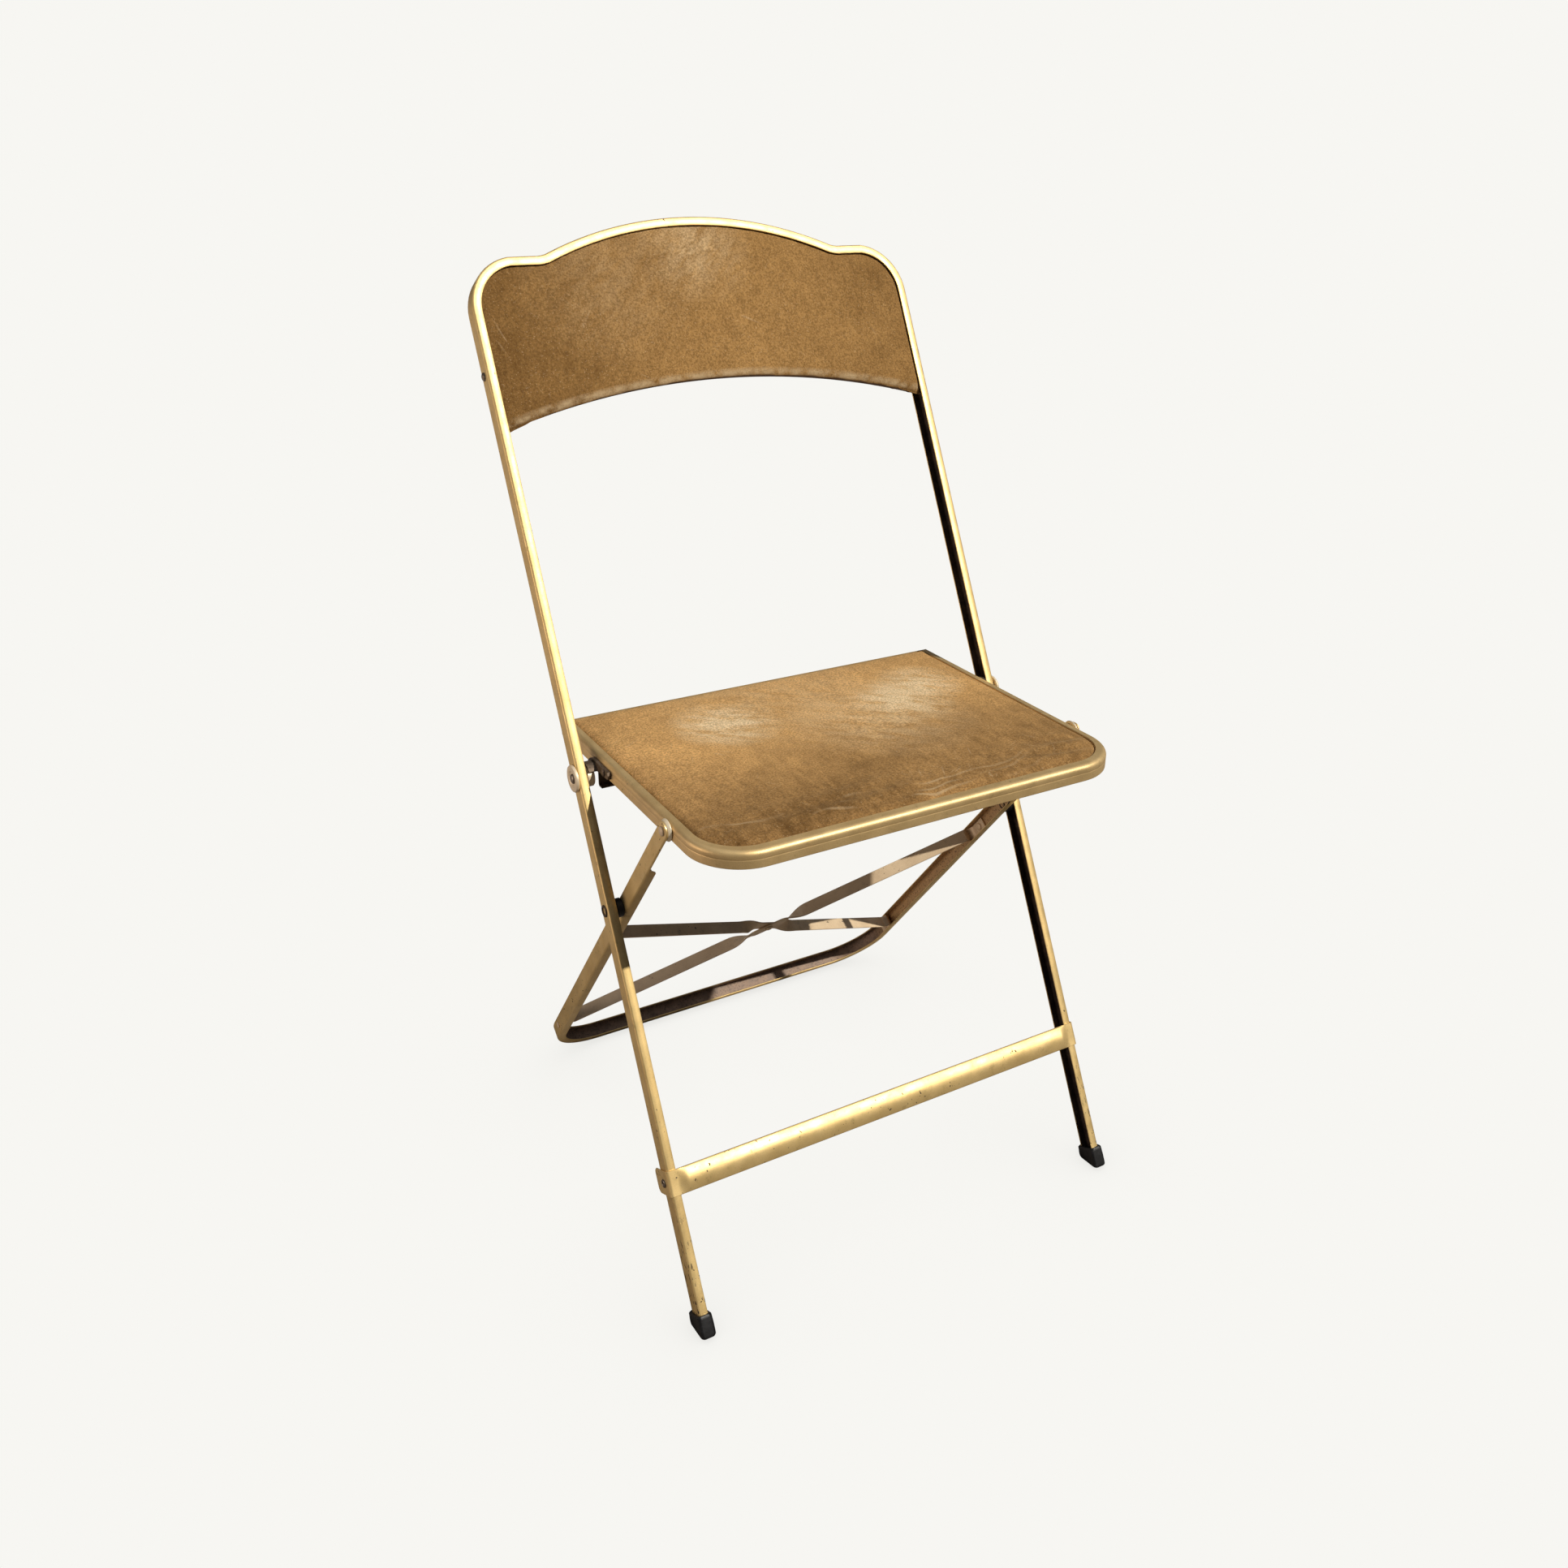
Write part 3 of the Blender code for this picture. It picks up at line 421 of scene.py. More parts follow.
# The seat's crease ridges get painted highlights.
SEAT_VELVET = velvet_material("seat_velvet", *SEAT_BROWN, ALONG_SEAT, seat_painted_shade, SEAT_RUBS, seat_crease_highlights)
BACK_BROWN = ((0.145, 0.069, 0.018), (0.560, 0.318, 0.112))
BACK_VELVET = velvet_material("back_velvet", *BACK_BROWN, ALONG_BACK, back_shade, BACK_RUBS, back_fold)
COVER_CLOTH = velvet_material("cover_cloth", (0.10, 0.055, 0.025), (0.17, 0.098, 0.048), ALONG_BACK)


# --- mesh tools


def arc(centre, radius, start, end, steps):
    """Points on a round arc, from one angle in degrees to another."""
    turns = [math.radians(start + (end - start) * i / steps) for i in range(steps + 1)]
    return [(centre[0] + radius * math.cos(a), centre[1] + radius * math.sin(a)) for a in turns]


def mirrored(half):
    """The whole path from its right half, which ends on the middle line."""
    return half + [(-x, y) for x, y in reversed(half[:-1])]


def inward(path, i, closed=False):
    """The way to the inside of the path at point i, longer in a bend."""
    before = path[i - 1] if closed or i > 0 else None
    after = path[(i + 1) % len(path)] if closed or i < len(path) - 1 else None
    normals = []
    for start, end in ((before, path[i]), (path[i], after)):
        if start and end:
            dx, dy = end[0] - start[0], end[1] - start[1]
            length = math.hypot(dx, dy)
            normals.append((-dy / length, dx / length))
    (ax, ay), (bx, by) = normals[0], normals[-1]
    scale = 1 + ax * bx + ay * by
    return ((ax + bx) / scale, (ay + by) / scale)


def offset(path, distance):
    shifted = []
    for i, (x, y) in enumerate(path):
        side = inward(path, i)
        shifted.append((x + side[0] * distance, y + side[1] * distance))
    return shifted


def skin(name, rings, space, materials, closed=False, pick=None, weighted=True):
    """A smooth surface through rings of equally many points, capped at both ends unless it closes on itself.

    pick gives the material of a face from its place.
    """
    count = len(rings[0])
    points = [point for ring in rings for point in ring]
    faces, slots = [], []
    for i in range(len(rings) if closed else len(rings) - 1):
        here = i * count
        there = (i + 1) % len(rings) * count
        for j in range(count):
            k = (j + 1) % count
            faces.append((here + j, here + k, there + k, there + j))
            slots.append(pick(i, j) if pick else 0)
    if not closed:
        faces += [tuple(range(count)), tuple(range(len(points) - count, len(points)))]
        slots += [0, 0]
    mesh = bpy.data.meshes.new(name)
    mesh.from_pydata(points, [], faces)
    for slot_material in materials:
        mesh.materials.append(slot_material)
    mesh.polygons.foreach_set("material_index", slots)
    work = bmesh.new()
    work.from_mesh(mesh)
    bmesh.ops.recalc_face_normals(work, faces=work.faces)
    work.to_mesh(mesh)
    work.free()
    mesh.shade_smooth()
    mesh.set_sharp_from_angle(angle=math.radians(38))
    made = add_object(name, mesh)
    made.matrix_world = space
    if weighted:
        soften = made.modifiers.new("weighted", "WEIGHTED_NORMAL")
        soften.keep_sharp = True
    return made


def show(piece, body, slot, *nodes):
    """The piece rides on a body and stands for CAD nodes."""
    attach(piece, body)
    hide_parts(*nodes)


def turned(name, profile, centre, space, look, bored=False, axis="x"):
    """A turned piece, bored through or solid. Its outline holds (radius, position along the axis)."""
    rings = []
    for radius, along in profile:
        ring = []
        for y, z in arc((0, 0), radius, 0, 360, TURNED_SEGMENTS)[:-1]:
            spot = (along, y, z) if axis == "x" else (y, along, z)
            ring.append(tuple(a + b for a, b in zip(centre, spot)))
        rings.append(ring)
    return skin(name, rings, space, [look], closed=bored)


def on_side(profile, side):
    return [(radius, side * along) for radius, along in profile]


def channel(depth, flange):
    """(inward, across) points of the channel, with rolled bends and crowned flanges, and its inside faces."""
    half = depth / 2
    bend, edge, round_in = 0.0020, SHEET / 2, 0.0004
    crown = 0.00030 * min(1, flange / 0.008)
    tip = max(flange - edge, bend + 0.0001)
    swell = [(bend + (tip - bend) * t, crown * math.sin(math.pi * t)) for t in (0.2, 0.4, 0.6, 0.8)]
    points = arc((bend, bend - half), bend, 270, 180, 6)
    points += arc((bend, half - bend), bend, 180, 90, 6)
    points += [(u, half + rise) for u, rise in swell]
    points += arc((tip, half - edge), edge, 90, -90, 4)
    first_inside = len(points) - 1
    points += [(SHEET + round_in, half - SHEET), (SHEET, half - SHEET - round_in)]
    points += [(SHEET, SHEET + round_in - half), (SHEET + round_in, SHEET - half)]
    last_inside = len(points)
    points += arc((tip, edge - half), edge, 90, -90, 4)
    points += [(u, -half - rise) for u, rise in reversed(swell)]
    return points, range(first_inside, last_inside)


# --- main frame


def arch_radius():
    rise = ARCH_TOP - SHOULDER_HIGH
    return (NOTCH_X**2 + rise**2) / (2 * rise)


def main_path(fine=26):
    """The outside of the main frame, from the right foot over the top to the left foot."""
    radius = arch_radius()
    reach = math.degrees(math.asin(NOTCH_X / radius))
    half = [(FRAME_HALF, 0), (FRAME_HALF, BACK_LOW)]
    half += arc((FRAME_HALF - SHOULDER_RADIUS, SHOULDER_LOW), SHOULDER_RADIUS, 0, 82, 14)
    # The shoulder runs into the notch with a small hollow instead of a sharp corner.
    for beyond, drop in ((0.0120, 0.0003), (0.0050, 0.0004), (0.0018, 0)):
        half.append((NOTCH_X + beyond, SHOULDER_HIGH - drop))
    half += arc((0, ARCH_TOP - radius), radius, 90 - reach * 0.985, 90, fine)
    return mirrored(half)


def make_main_frame():
    path = main_path()
    section, inside = channel(FRAME_DEPTH, FRAME_FLANGE)
    foot = (CAP_SOLE + 2 * GAP) / math.cos(LEAN)
    rings = []
    for i, (x, z) in enumerate(path):
        side = inward(path, i)
        ring = []
        for u, across in section:
            depth = across + FRAME_MID
            lift = foot + depth * math.tan(LEAN) if i in (0, len(path) - 1) else 0
            ring.append((x + side[0] * u, depth, z + side[1] * u + lift))
        rings.append(ring)
    body = skin("main_frame_skin", rings, MAIN, [LEG_GOLD, SHADED_INSIDE], pick=lambda i, j: int(j in inside))
    show(body, "main", "gold", "main_frame")


def rounded_box(x0, x1, y0, y1, corner):
    left, right, near, far = x0 + corner, x1 - corner, y0 + corner, y1 - corner
    points = []
    for turn, centre in ((0, (right, far)), (90, (left, far)), (180, (left, near)), (270, (right, near))):
        points += arc(centre, corner, turn, turn + 90, 6)
    return points


def make_foot_caps():
    slope = math.tan(LEAN)
    low_x, high_x = FRAME_HALF - FRAME_FLANGE - GAP, FRAME_HALF + GAP
    far = FRAME_DEPTH + GAP

    # Rounded sole, straight wall and a collar with a thin lip, as (pinch, height, share of the sole's slope).
    levels = [(0.0016, 0, 1), (0.0006, 0.0005, 1), (0.0001, 0.0015, 1), (0, 0.0035, 0.9), (0, 0.0130, 0.3)]
    levels += [(0.0002, 0.0190, 0), (0.0003, CAP_HEIGHT - 0.0010, 0), (0.0011, CAP_HEIGHT, 0)]

    def sole(y, back):
        """Height of the sole, which is cut between square to the leg and level with the floor."""
        return slope * (back + (y - back) * SOLE_TURN)

    for name, side in SIDES.items():
        rings = []
        for pinch, height, level in levels:
            wall = CAP_WALL + CAP_FULL - pinch
            back = far + wall
            outline = rounded_box(low_x - wall, high_x + wall, -GAP - wall, back, 0.0032)
            rings.append([(side * x, y, max(height + sole(y, back) * level, y * slope)) for x, y in outline])
        for height, level in ((CAP_HEIGHT, 0), (CAP_SOLE / math.cos(LEAN), 1)):
            outline = rounded_box(low_x, high_x, -GAP, far, 0.0012)
            rings.append([(side * x, y, height + y * slope * level) for x, y in outline])
        cap = skin(f"foot_cap_skin_{name}", rings, MAIN, [RUBBER])
        show(cap, "main", "rubber", f"foot_cap_{name}")


def make_stretcher():
    """A crowned strip across the front, bent round both legs, with rounded ends to its flaps."""
    inner_x = FRAME_HALF + GAP
    bend = 0.0018
    short = STRETCHER_HALF * 0.45
    half = []
    for turn in (90, 72, 54, 36, 18, 0):
        shrink = short * (1 - math.cos(math.radians(turn)))
        back = FLAP_BACK - short * (1 - math.sin(math.radians(turn)))
        half.append((inner_x, back, (1, 0), STRETCHER_HALF - shrink, 0))
    for x, y in arc((inner_x - bend, bend - GAP), bend, 0, -90, 6):
        half.append((x, y, ((x - inner_x + bend) / bend, (y + GAP - bend) / bend), STRETCHER_HALF, 0))
    for step in range(13):
        share = step / 12
        half.append((0.204 - 0.010 * share, -GAP, (0, -1), STRETCHER_HALF, eased(share) * STRETCHER_CROWN))
    half += [(x, -GAP, (0, -1), STRETCHER_HALF, STRETCHER_CROWN) for x in (0.10, 0)]
    rest = [(-x, y, (-nx, ny), tall, crown) for x, y, (nx, ny), tall, crown in reversed(half[:-1])]
    across = [-1, -0.97, -0.9, -0.75, -0.5, -0.25, 0, 0.25, 0.5, 0.75, 0.9, 0.97, 1]
    rings = []
    for x, y, (nx, ny), tall, crown in half + rest:
        ring = []
        for layer, order in ((0, across), (SHEET, across[::-1])):
            for t in order:
                round_edge = 0.00035 if abs(t) == 1 else 0
                out = layer + (round_edge if layer == 0 else -round_edge) + crown * (1 - t * t)
                ring.append((x + nx * out, y + ny * out, STRETCHER_MID + t * tall))
        rings.append(ring)
    strip = skin("front_stretcher_skin", rings, MAIN, [GOLD])
    show(strip, "main", "gold", "front_stretcher")


def rivet(head, shaft, outer, inner, thick):
    """A domed head, a shaft through the sheets between outer and inner, and a flattened tail."""
    side = 1 if outer > inner else -1
    dome = []
    for degrees in range(8, 91, 10):
        turn = math.radians(degrees)
        dome.append((head * math.sin(turn), outer + side * thick * math.cos(turn)))
    tail = [(head * 0.85, inner), (head * 0.80, inner - side * thick * 0.5)]
    return dome + [(head, outer), (shaft, outer), (shaft, inner)] + tail


def eyelet(head, shaft, bore, outer, inner, thick):
    """A hollow rivet with a rolled head."""
    side = 1 if outer > inner else -1
    middle, round_half = (head + bore) / 2, (head - bore) / 2
    roll = []
    for degrees in range(20, 181, 16):
        turn = math.radians(degrees)
        roll.append((middle - round_half * math.cos(turn), outer + side * thick * math.sin(turn)))
    tail = [(head * 0.8, inner), (head * 0.8, inner - side * thick * 0.3)]
    back = [(bore + 0.0006, inner - side * thick * 0.6), (bore, inner - side * thick * 0.4)]
    return roll + [(shaft, outer), (shaft, inner)] + tail + back


def make_main_fittings():
    """Each side's eyelets, hinge bush, outer disc, rest stud, rivet and screw."""
    hinge = (0, FRAME_MID, HINGE_HEIGHT)
    rest = (0, FRAME_MID, REST_HEIGHT)
    face = FRAME_HALF + GAP
    end = FRAME_HALF - FRAME_FLANGE - GAP
    inner = REAR_HALF + GAP
    clip = eyelet(0.0036, 0.0022, 0.0014, face + SHEET + GAP, FRAME_WEB - GAP, 0.0010)
    pivot = eyelet(0.0052, 0.0040, 0.0032, face, REAR_WEB - GAP, 0.0009)
    bush = [(0.0074, inner), (0.0080, inner + 0.0006), (0.0080, end - 0.0006), (0.0074, end)]
    bush += [(0.0043, end), (0.0043, inner)]
    disc = [(0.0033, 0), (0.0110, 0), (0.0115, 0.0004), (0.0115, 0.0016), (0.0110, 0.0024), (0.0101, 0.0027)]
    disc += [(0.0074, 0.0026), (0.0064, 0.0018)]
    disc += [(radius, DISC_FACE) for radius in (0.0056, 0.0048, 0.0033)]
    disc = [(radius, face + out) for radius, out in disc]
    stud = [(0.0033, end), (PIN_RADIUS, end), (PIN_RADIUS, PIN_INNER + 0.0006)]
    stud += [(PIN_RADIUS - 0.0006, PIN_INNER), (0.0055, PIN_INNER)]
    stud += [(radius, PIN_INNER + PIN_FLOOR) for radius in (0.0055, 0.0033)]
    grip = rivet(0.0042, 0.0030, face + DISC_FACE + GAP, PIN_INNER + PIN_FLOOR - GAP, 0.0018)
    screw = [(0.0004, 0.0018), (0.0016, 0.0017), (0.0026, 0.0013), (0.0034, 0.0006), (0.0036, 0), (0.0018, 0)]
    screw = [(radius, face + out) for radius, out in screw]
    screw += [(0.0018, FRAME_HALF - 0.0085), (0.0006, FRAME_HALF - 0.0098)]
    stretcher_spot = (0, FRAME_MID, STRETCHER_MID)
    screw_spot = (0, SCREW_DEPTH, SCREW_HEIGHT)
    fittings = [
        ("stretcher_eyelet", clip, stretcher_spot, STEEL, True, "steel", "stretcher_rivet"),
        # The hinge eyelet is dark brown: painted shade in its hole.
        ("hinge_eyelet", pivot, hinge, SHADED_BRACKET, True, "gold", "hinge_rivet"),
        ("hinge_bush", bush, hinge, RUBBER, True, "rubber", "hinge_spacer"),
        ("rest_boss", disc, rest, DISC_HIGHLIGHT_GOLD, True, "gold", "rest_disc"),
        ("rest_stud", stud, rest, DISC_HIGHLIGHT_GOLD, True, "gold", "rest_pin"),
        ("rest_rivet_skin", grip, rest, STEEL, False, "steel", "rest_rivet"),
        ("back_screw_skin", screw, screw_spot, STEEL, False, "steel", "back_screw"),
    ]
    for letter, side in SIDES.items():
        for name, profile, spot, look, bored, slot, node in fittings:
            piece = turned(f"{name}_{letter}", on_side(profile, side), spot, MAIN, look, bored)
            show(piece, "main", slot, f"{node}_{letter}")


# --- rear frame


def rear_path():
    """The outside of the rear frame: round top, start of the flanges, leg, bend and floor bar."""
    low = -REAR_LENGTH
    half = []
    for degrees in (86, 75, 64, 52, 40, 28, 14, 0):
        half.append((REAR_HALF, SEAT_HINGE + REAR_DEPTH / 2 * math.sin(math.radians(degrees))))
    for degrees in (0, 12, 24, 36, 48, 60, 75, 90):
        half.append((REAR_HALF, FLANGE_TOP - FLANGE_ROUND * (1 - math.cos(math.radians(degrees)))))
    half += arc((REAR_HALF - REAR_RADIUS, low + REAR_RADIUS), REAR_RADIUS, 0, -90, 22)
    return mirrored(half + [(0, low)])


def flat_section(section, half):
    """The channel section without flanges: their points are spread down the two edges of the flat sheet."""
    flat = list(section)
    upper = [i for i, (u, across) in enumerate(section) if u > SHEET and across > 0]
    lower = [i for i, (u, across) in enumerate(section) if u > SHEET and across < 0]
    lower.sort(key=lambda i: i < len(section) // 2)
    for step, (i, j) in enumerate(zip(upper, reversed(lower))):
        edge = half - 0.0002 - (SHEET - 0.0002) * step / len(upper)
        flat[i], flat[j] = (SHEET, edge), (SHEET, -edge)
    return flat


def make_rear_frame():
    path = rear_path()
    rings = []
    for i, (x, z) in enumerate(path):
        side = inward(path, i)
        above = max(0, z - SEAT_HINGE)
        narrow = math.sqrt(1 - (above / (REAR_DEPTH / 2)) ** 2)
        into = clamped((FLANGE_TOP - z) / FLANGE_ROUND)
        flange = FLANGE_START + (REAR_FLANGE - FLANGE_START) * (0.5 - 0.5 * math.cos(math.pi * into))
        section, inside = channel(REAR_DEPTH, flange)
        if z >= FLANGE_TOP:
            section = flat_section(section, REAR_DEPTH / 2)
        rings.append([(x - side[0] * u, n * narrow, z - side[1] * u) for u, n in section])
    body = skin("rear_frame_skin", rings, REAR, [GOLD, REAR_INSIDE], pick=lambda i, j: int(j in inside))
    show(body, "rear", "gold", "rear_frame")


def brace_line():
    """The middle line of a strap: tab, bend and slant on each side."""
    x = REAR_WEB - GAP - BRACE_THICK / 2
    top, low = BRACE_TOP - BRACE_TAB, BRACE_LOW + BRACE_TAB
    middle = (top + low) / 2
    angle = math.atan2(top - middle, x)
    bend = [(x, BRACE_TOP + BRACE_TAB), (x, BRACE_TOP), (x, top), (x - 0.0004, top - 0.0026)]
    bend += [(x - 0.0018, top - 0.0056), (x - 0.0050, top - 0.0080)]
    bend.append((x - BRACE_BEND * math.cos(angle), top - BRACE_BEND * math.sin(angle)))
    start = bend[-1]
    steps = 64
    for step in range(1, steps):
        share = step / steps
        bend.append((start[0] * (1 - share), start[1] + (middle - start[1]) * share))
    return bend + [(0, middle)] + [(-x, 2 * middle - z) for x, z in reversed(bend)]


def make_brace():
    """Two flat straps that cross, each turned on edge at the middle, and their five rivets."""
    line = brace_line()
    middle = line[len(line) // 2][1]
    edge = 0.0004
    section = [(-1, -1, 0, edge), (-1, -1, edge, 0), (1, -1, -edge, 0), (1, -1, 0, edge)]
    section += [(1, 1, 0, -edge), (1, 1, -edge, 0), (-1, 1, edge, 0), (-1, 1, 0, -edge)]
    for name, hand in (("brace_strap_a", 1), ("brace_strap_b", -1)):
        path = [(hand * x, z) for x, z in line]
        rings = []
        for i, (x, z) in enumerate(path):
            side = inward(path, i)
            reach = math.hypot(*side)
            side = (side[0] / reach, side[1] / reach)
            away = math.hypot(x, z - middle)
            twist = eased(clamped((TWIST_FAR - away) / (TWIST_FAR - TWIST_NEAR)))
            turn = math.radians(90) * twist
            lift = -hand * (BRACE_THICK / 2 + GAP / 2) * twist
            ring = []
            for w, t, dw, dt in section:
                wide, thick = w * BRACE_WIDTH / 2 + dw, t * BRACE_THICK / 2 + dt
                flat = wide * math.sin(turn) + thick * math.cos(turn)
                deep = wide * math.cos(turn) - thick * math.sin(turn)
                ring.append((x + side[0] * flat, lift + deep, z + side[1] * flat))
            rings.append(ring)
        show(skin(f"{name}_skin", rings, REAR, [STRAP_GOLD]), "rear", "gold", name)
    for name, side in SIDES.items():
        for level, height in (("top", BRACE_TOP), ("low", BRACE_LOW)):
            grip = rivet(0.0036, 0.0020, REAR_WEB - 2 * GAP - BRACE_THICK, REAR_HALF + GAP, 0.0014)
            spot = (0, 0, height)
            piece = turned(f"brace_rivet_skin_{level}_{name}", on_side(grip, side), spot, REAR, STRAP_GOLD)
            show(piece, "rear", "gold", f"brace_rivet_{level}_{name}")
    grip = rivet(0.0040, 0.0020, -BRACE_THICK - 1.5 * GAP, BRACE_THICK + 1.5 * GAP, 0.0016)
    piece = turned("brace_rivet_skin_middle", grip, (0, 0, middle), REAR, STRAP_GOLD, axis="y")
    show(piece, "rear", "gold", "brace_rivet_middle")


# --- seat


def seat_path():
    """The outside of the rail, from the middle of the front edge all the way round."""
    half = [(0, -SEAT_FRONT)]
    half += arc((SEAT_HALF - SEAT_CORNER, SEAT_CORNER - SEAT_FRONT), SEAT_CORNER, -90, 0, 24)
    half += [(SEAT_HALF, SEAT_BACK)]
    return half + [(-x, y) for x, y in reversed(half[1:])]


def seat_inset(path, i, distance):
    """Point i of the seat's outline moved inward, along the rear edge by the lip at most."""
    x, y = path[i]
    side = inward(path, i, closed=True)
    if y > SEAT_BACK - GAP:
        return (x + side[0] * distance, y - min(distance, LIP_BACK))
    return (x + side[0] * distance, y + side[1] * distance)


def rail_section(lip):
    """(inward, up) outline of the rail: lip, wide round edge, faint groove, flat band and turned-in hem."""
    low = -RAIL_HEIGHT
    points = arc((0.0042, -0.0042), 0.0042, 90, 180, 10)
    points += [(0.0, -0.0060), (0.0002, -0.0064), (0.0003, -0.0068), (0.0002, -0.0072), (0.0, -0.0077)]
    points += arc((0.0008, low + 0.0008), 0.0008, 180, 270, 4)
    points += [(0.0030, low), (0.0030, low + SHEET), (HEM_INSIDE, low + SHEET), (HEM_INSIDE, -0.0046)]
    points += arc((0.0046, -0.0046), 0.0026, 180, 90, 4)[1:]
    points += [(lip - 0.0004, -0.0018), (lip, -0.0013), (lip, -0.0006), (lip - 0.0005, 0)]
    return points


def make_seat_rim():
    path = seat_path()
    rings = []
    for i, (_, y) in enumerate(path):
        share = clamped((SEAT_CORNER - SEAT_FRONT - y) / SEAT_CORNER)
        lip = LIP_SIDE + (LIP_FRONT - LIP_SIDE) * share
        rings.append([(*seat_inset(path, i, u), SEAT_TOP + w) for u, w in rail_section(lip)])
    show(skin("seat_rim_skin", rings, SEAT, [RIM_GOLD], closed=True), "seat", "gold", "seat_rim")


def make_seat_fittings():
    """Each side's saddle rivet, seat rivet, washer and corner stud."""
    saddle_spot = (0, REST_ON_SEAT.y + TAB_RIVET[0], REST_ON_SEAT.z + TAB_RIVET[1])
    rail_inside = SEAT_HALF - HEM_INSIDE - GAP
    inner, outer = SEAT_HALF + GAP, REAR_WEB - GAP
    saddle_grip = rivet(0.0031, 0.0018, PLATE_OUTER + GAP, rail_inside, 0.0012)
    seat_grip = rivet(0.0040, 0.0030, REAR_HALF + GAP, rail_inside, 0.0016)
    washer = [(0.0084, inner), (0.0089, inner + 0.0004), (0.0089, inner + 0.0009), (0.0076, outer - 0.0003)]
    washer += [(0.0072, outer), (0.0034, outer), (0.0034, inner)]
    fittings = [
        ("saddle_rivet", saddle_grip, saddle_spot, SHADED_BRACKET, False, "gold"),
        ("seat_rivet", seat_grip, (0, 0, 0), STRAP_GOLD, False, "gold"),
        ("seat_washer", washer, (0, 0, 0), BRASS, True, "brass"),
    ]
    nub = rivet(0.0022, 0.0011, SEAT_BACK + GAP, SEAT_BACK - HEM_INSIDE - GAP, 0.0028)
    for letter, side in SIDES.items():
        for name, profile, spot, look, bored, slot in fittings:
            piece = turned(f"{name}_skin_{letter}", on_side(profile, side), spot, SEAT, look, bored)
            show(piece, "seat", slot, f"{name}_{letter}")
        place = (side * NUB_X, 0, SEAT_TOP - NUB_DROP)
        piece = turned(f"seat_nub_skin_{letter}", nub, place, SEAT, GOLD, axis="y")
        show(piece, "seat", "gold", f"seat_nub_{letter}")


def make_crossbar():
    """A steel strip across the underside, between the side rails, with a turned lower edge."""
    foot = CROSS_Y - CROSS_FOOT
    section = [(CROSS_Y, CROSS_TOP), (CROSS_Y, CROSS_LOW + 0.0016), (CROSS_Y - 0.0005, CROSS_LOW + 0.0005)]
    section += [(CROSS_Y - 0.0016, CROSS_LOW), (foot, CROSS_LOW), (foot, CROSS_LOW + SHEET)]
    section += [(CROSS_Y - 0.0022, CROSS_LOW + SHEET), (CROSS_Y - SHEET, CROSS_LOW + 0.0022)]
    section.append((CROSS_Y - SHEET, CROSS_TOP))
    rings = []
    for share in (-1, -0.5, 0, 0.5, 1):
        rings.append([(share * CROSS_HALF, y, z) for y, z in section])
    # Dark brown: painted shade under the seat.
    bar = skin("seat_crossbar_skin", rings, SEAT, [SHADED_BRACKET])
    show(bar, "seat", "gold", "seat_crossbar")


# --- soft pads


def inflate(piece, cap, pressure, depth_axis, squeeze):
    """Swells a pad with cloth under pressure, each point by cap at most.

    The pad is built squeeze times too deep, so that the remesh can hold it.
    """
    remesh = piece.modifiers.new("remesh", "REMESH")
    remesh.mode = "VOXEL"
    remesh.voxel_size = PAD_VOXEL
    graph = bpy.context.evaluated_depsgraph_get()
    dense = bpy.data.meshes.new_from_object(piece.evaluated_get(graph))
    piece.modifiers.clear()
    piece.data = dense
    for vertex in dense.vertices:
        vertex.co[depth_axis] /= squeeze
    start = [vertex.co.copy() for vertex in dense.vertices]
    cloth = piece.modifiers.new("cloth", "CLOTH")
    cloth.settings.use_pressure = True
    cloth.settings.uniform_pressure_force = pressure
    cloth.settings.quality = 4
    cloth.settings.effector_weights.gravity = 0
    cloth.point_cache.frame_end = SWELL_FRAMES
    scene = bpy.context.scene
    for step in range(1, SWELL_FRAMES + 1):
        scene.frame_set(step)
    graph = bpy.context.evaluated_depsgraph_get()
    swollen = piece.evaluated_get(graph).to_mesh()
    moved = [vertex.co.copy() for vertex in swollen.vertices]
    piece.evaluated_get(graph).to_mesh_clear()
    piece.modifiers.clear()
    scene.frame_set(1)
    for vertex, before, after in zip(piece.data.vertices, start, moved):
        shift = after - before
        if shift.length > cap:
            shift *= cap / shift.length
        vertex.co = before + shift


def finish_pad(piece, look):
    paint(piece, look)
    smooth = piece.modifiers.new("smooth", "SUBSURF")
    smooth.levels = smooth.render_levels = 1
    piece.data.shade_smooth()


def loose_solid(name, rings, space):
    piece = skin(name, rings, space, [], weighted=False)
    piece.data.shade_smooth()
    return piece


def rim_distance(x, y):
    """How far a point of the seat is inside the rail's outer edge, and the way to the inside there."""
    corner_x, corner_y = SEAT_HALF - SEAT_CORNER, SEAT_CORNER - SEAT_FRONT
    if abs(x) > corner_x and y < corner_y:
        away = Vector((abs(x) - corner_x, y - corner_y))
        return SEAT_CORNER - away.length, Vector((-math.copysign(away.x, x), -away.y)) / max(away.length, GAP)
    to_side = (SEAT_HALF - abs(x), (-math.copysign(1, x), 0))
    gap, way = min(to_side, (y + SEAT_FRONT, (0, 1)), (SEAT_BACK - y, (0, -1)))
    return gap, Vector(way)


def cushion_top(gap, lip):
    """Height of the velvet over the rim's top: tucked under the lip, a quick swell, then a slow dome."""
    beyond = max(0.0, gap - lip)
    swell = 0.0050 * (1 - math.exp(-beyond / 0.0045)) + 0.0026 * (1 - math.exp(-beyond / 0.045))
    return swell - 0.0021


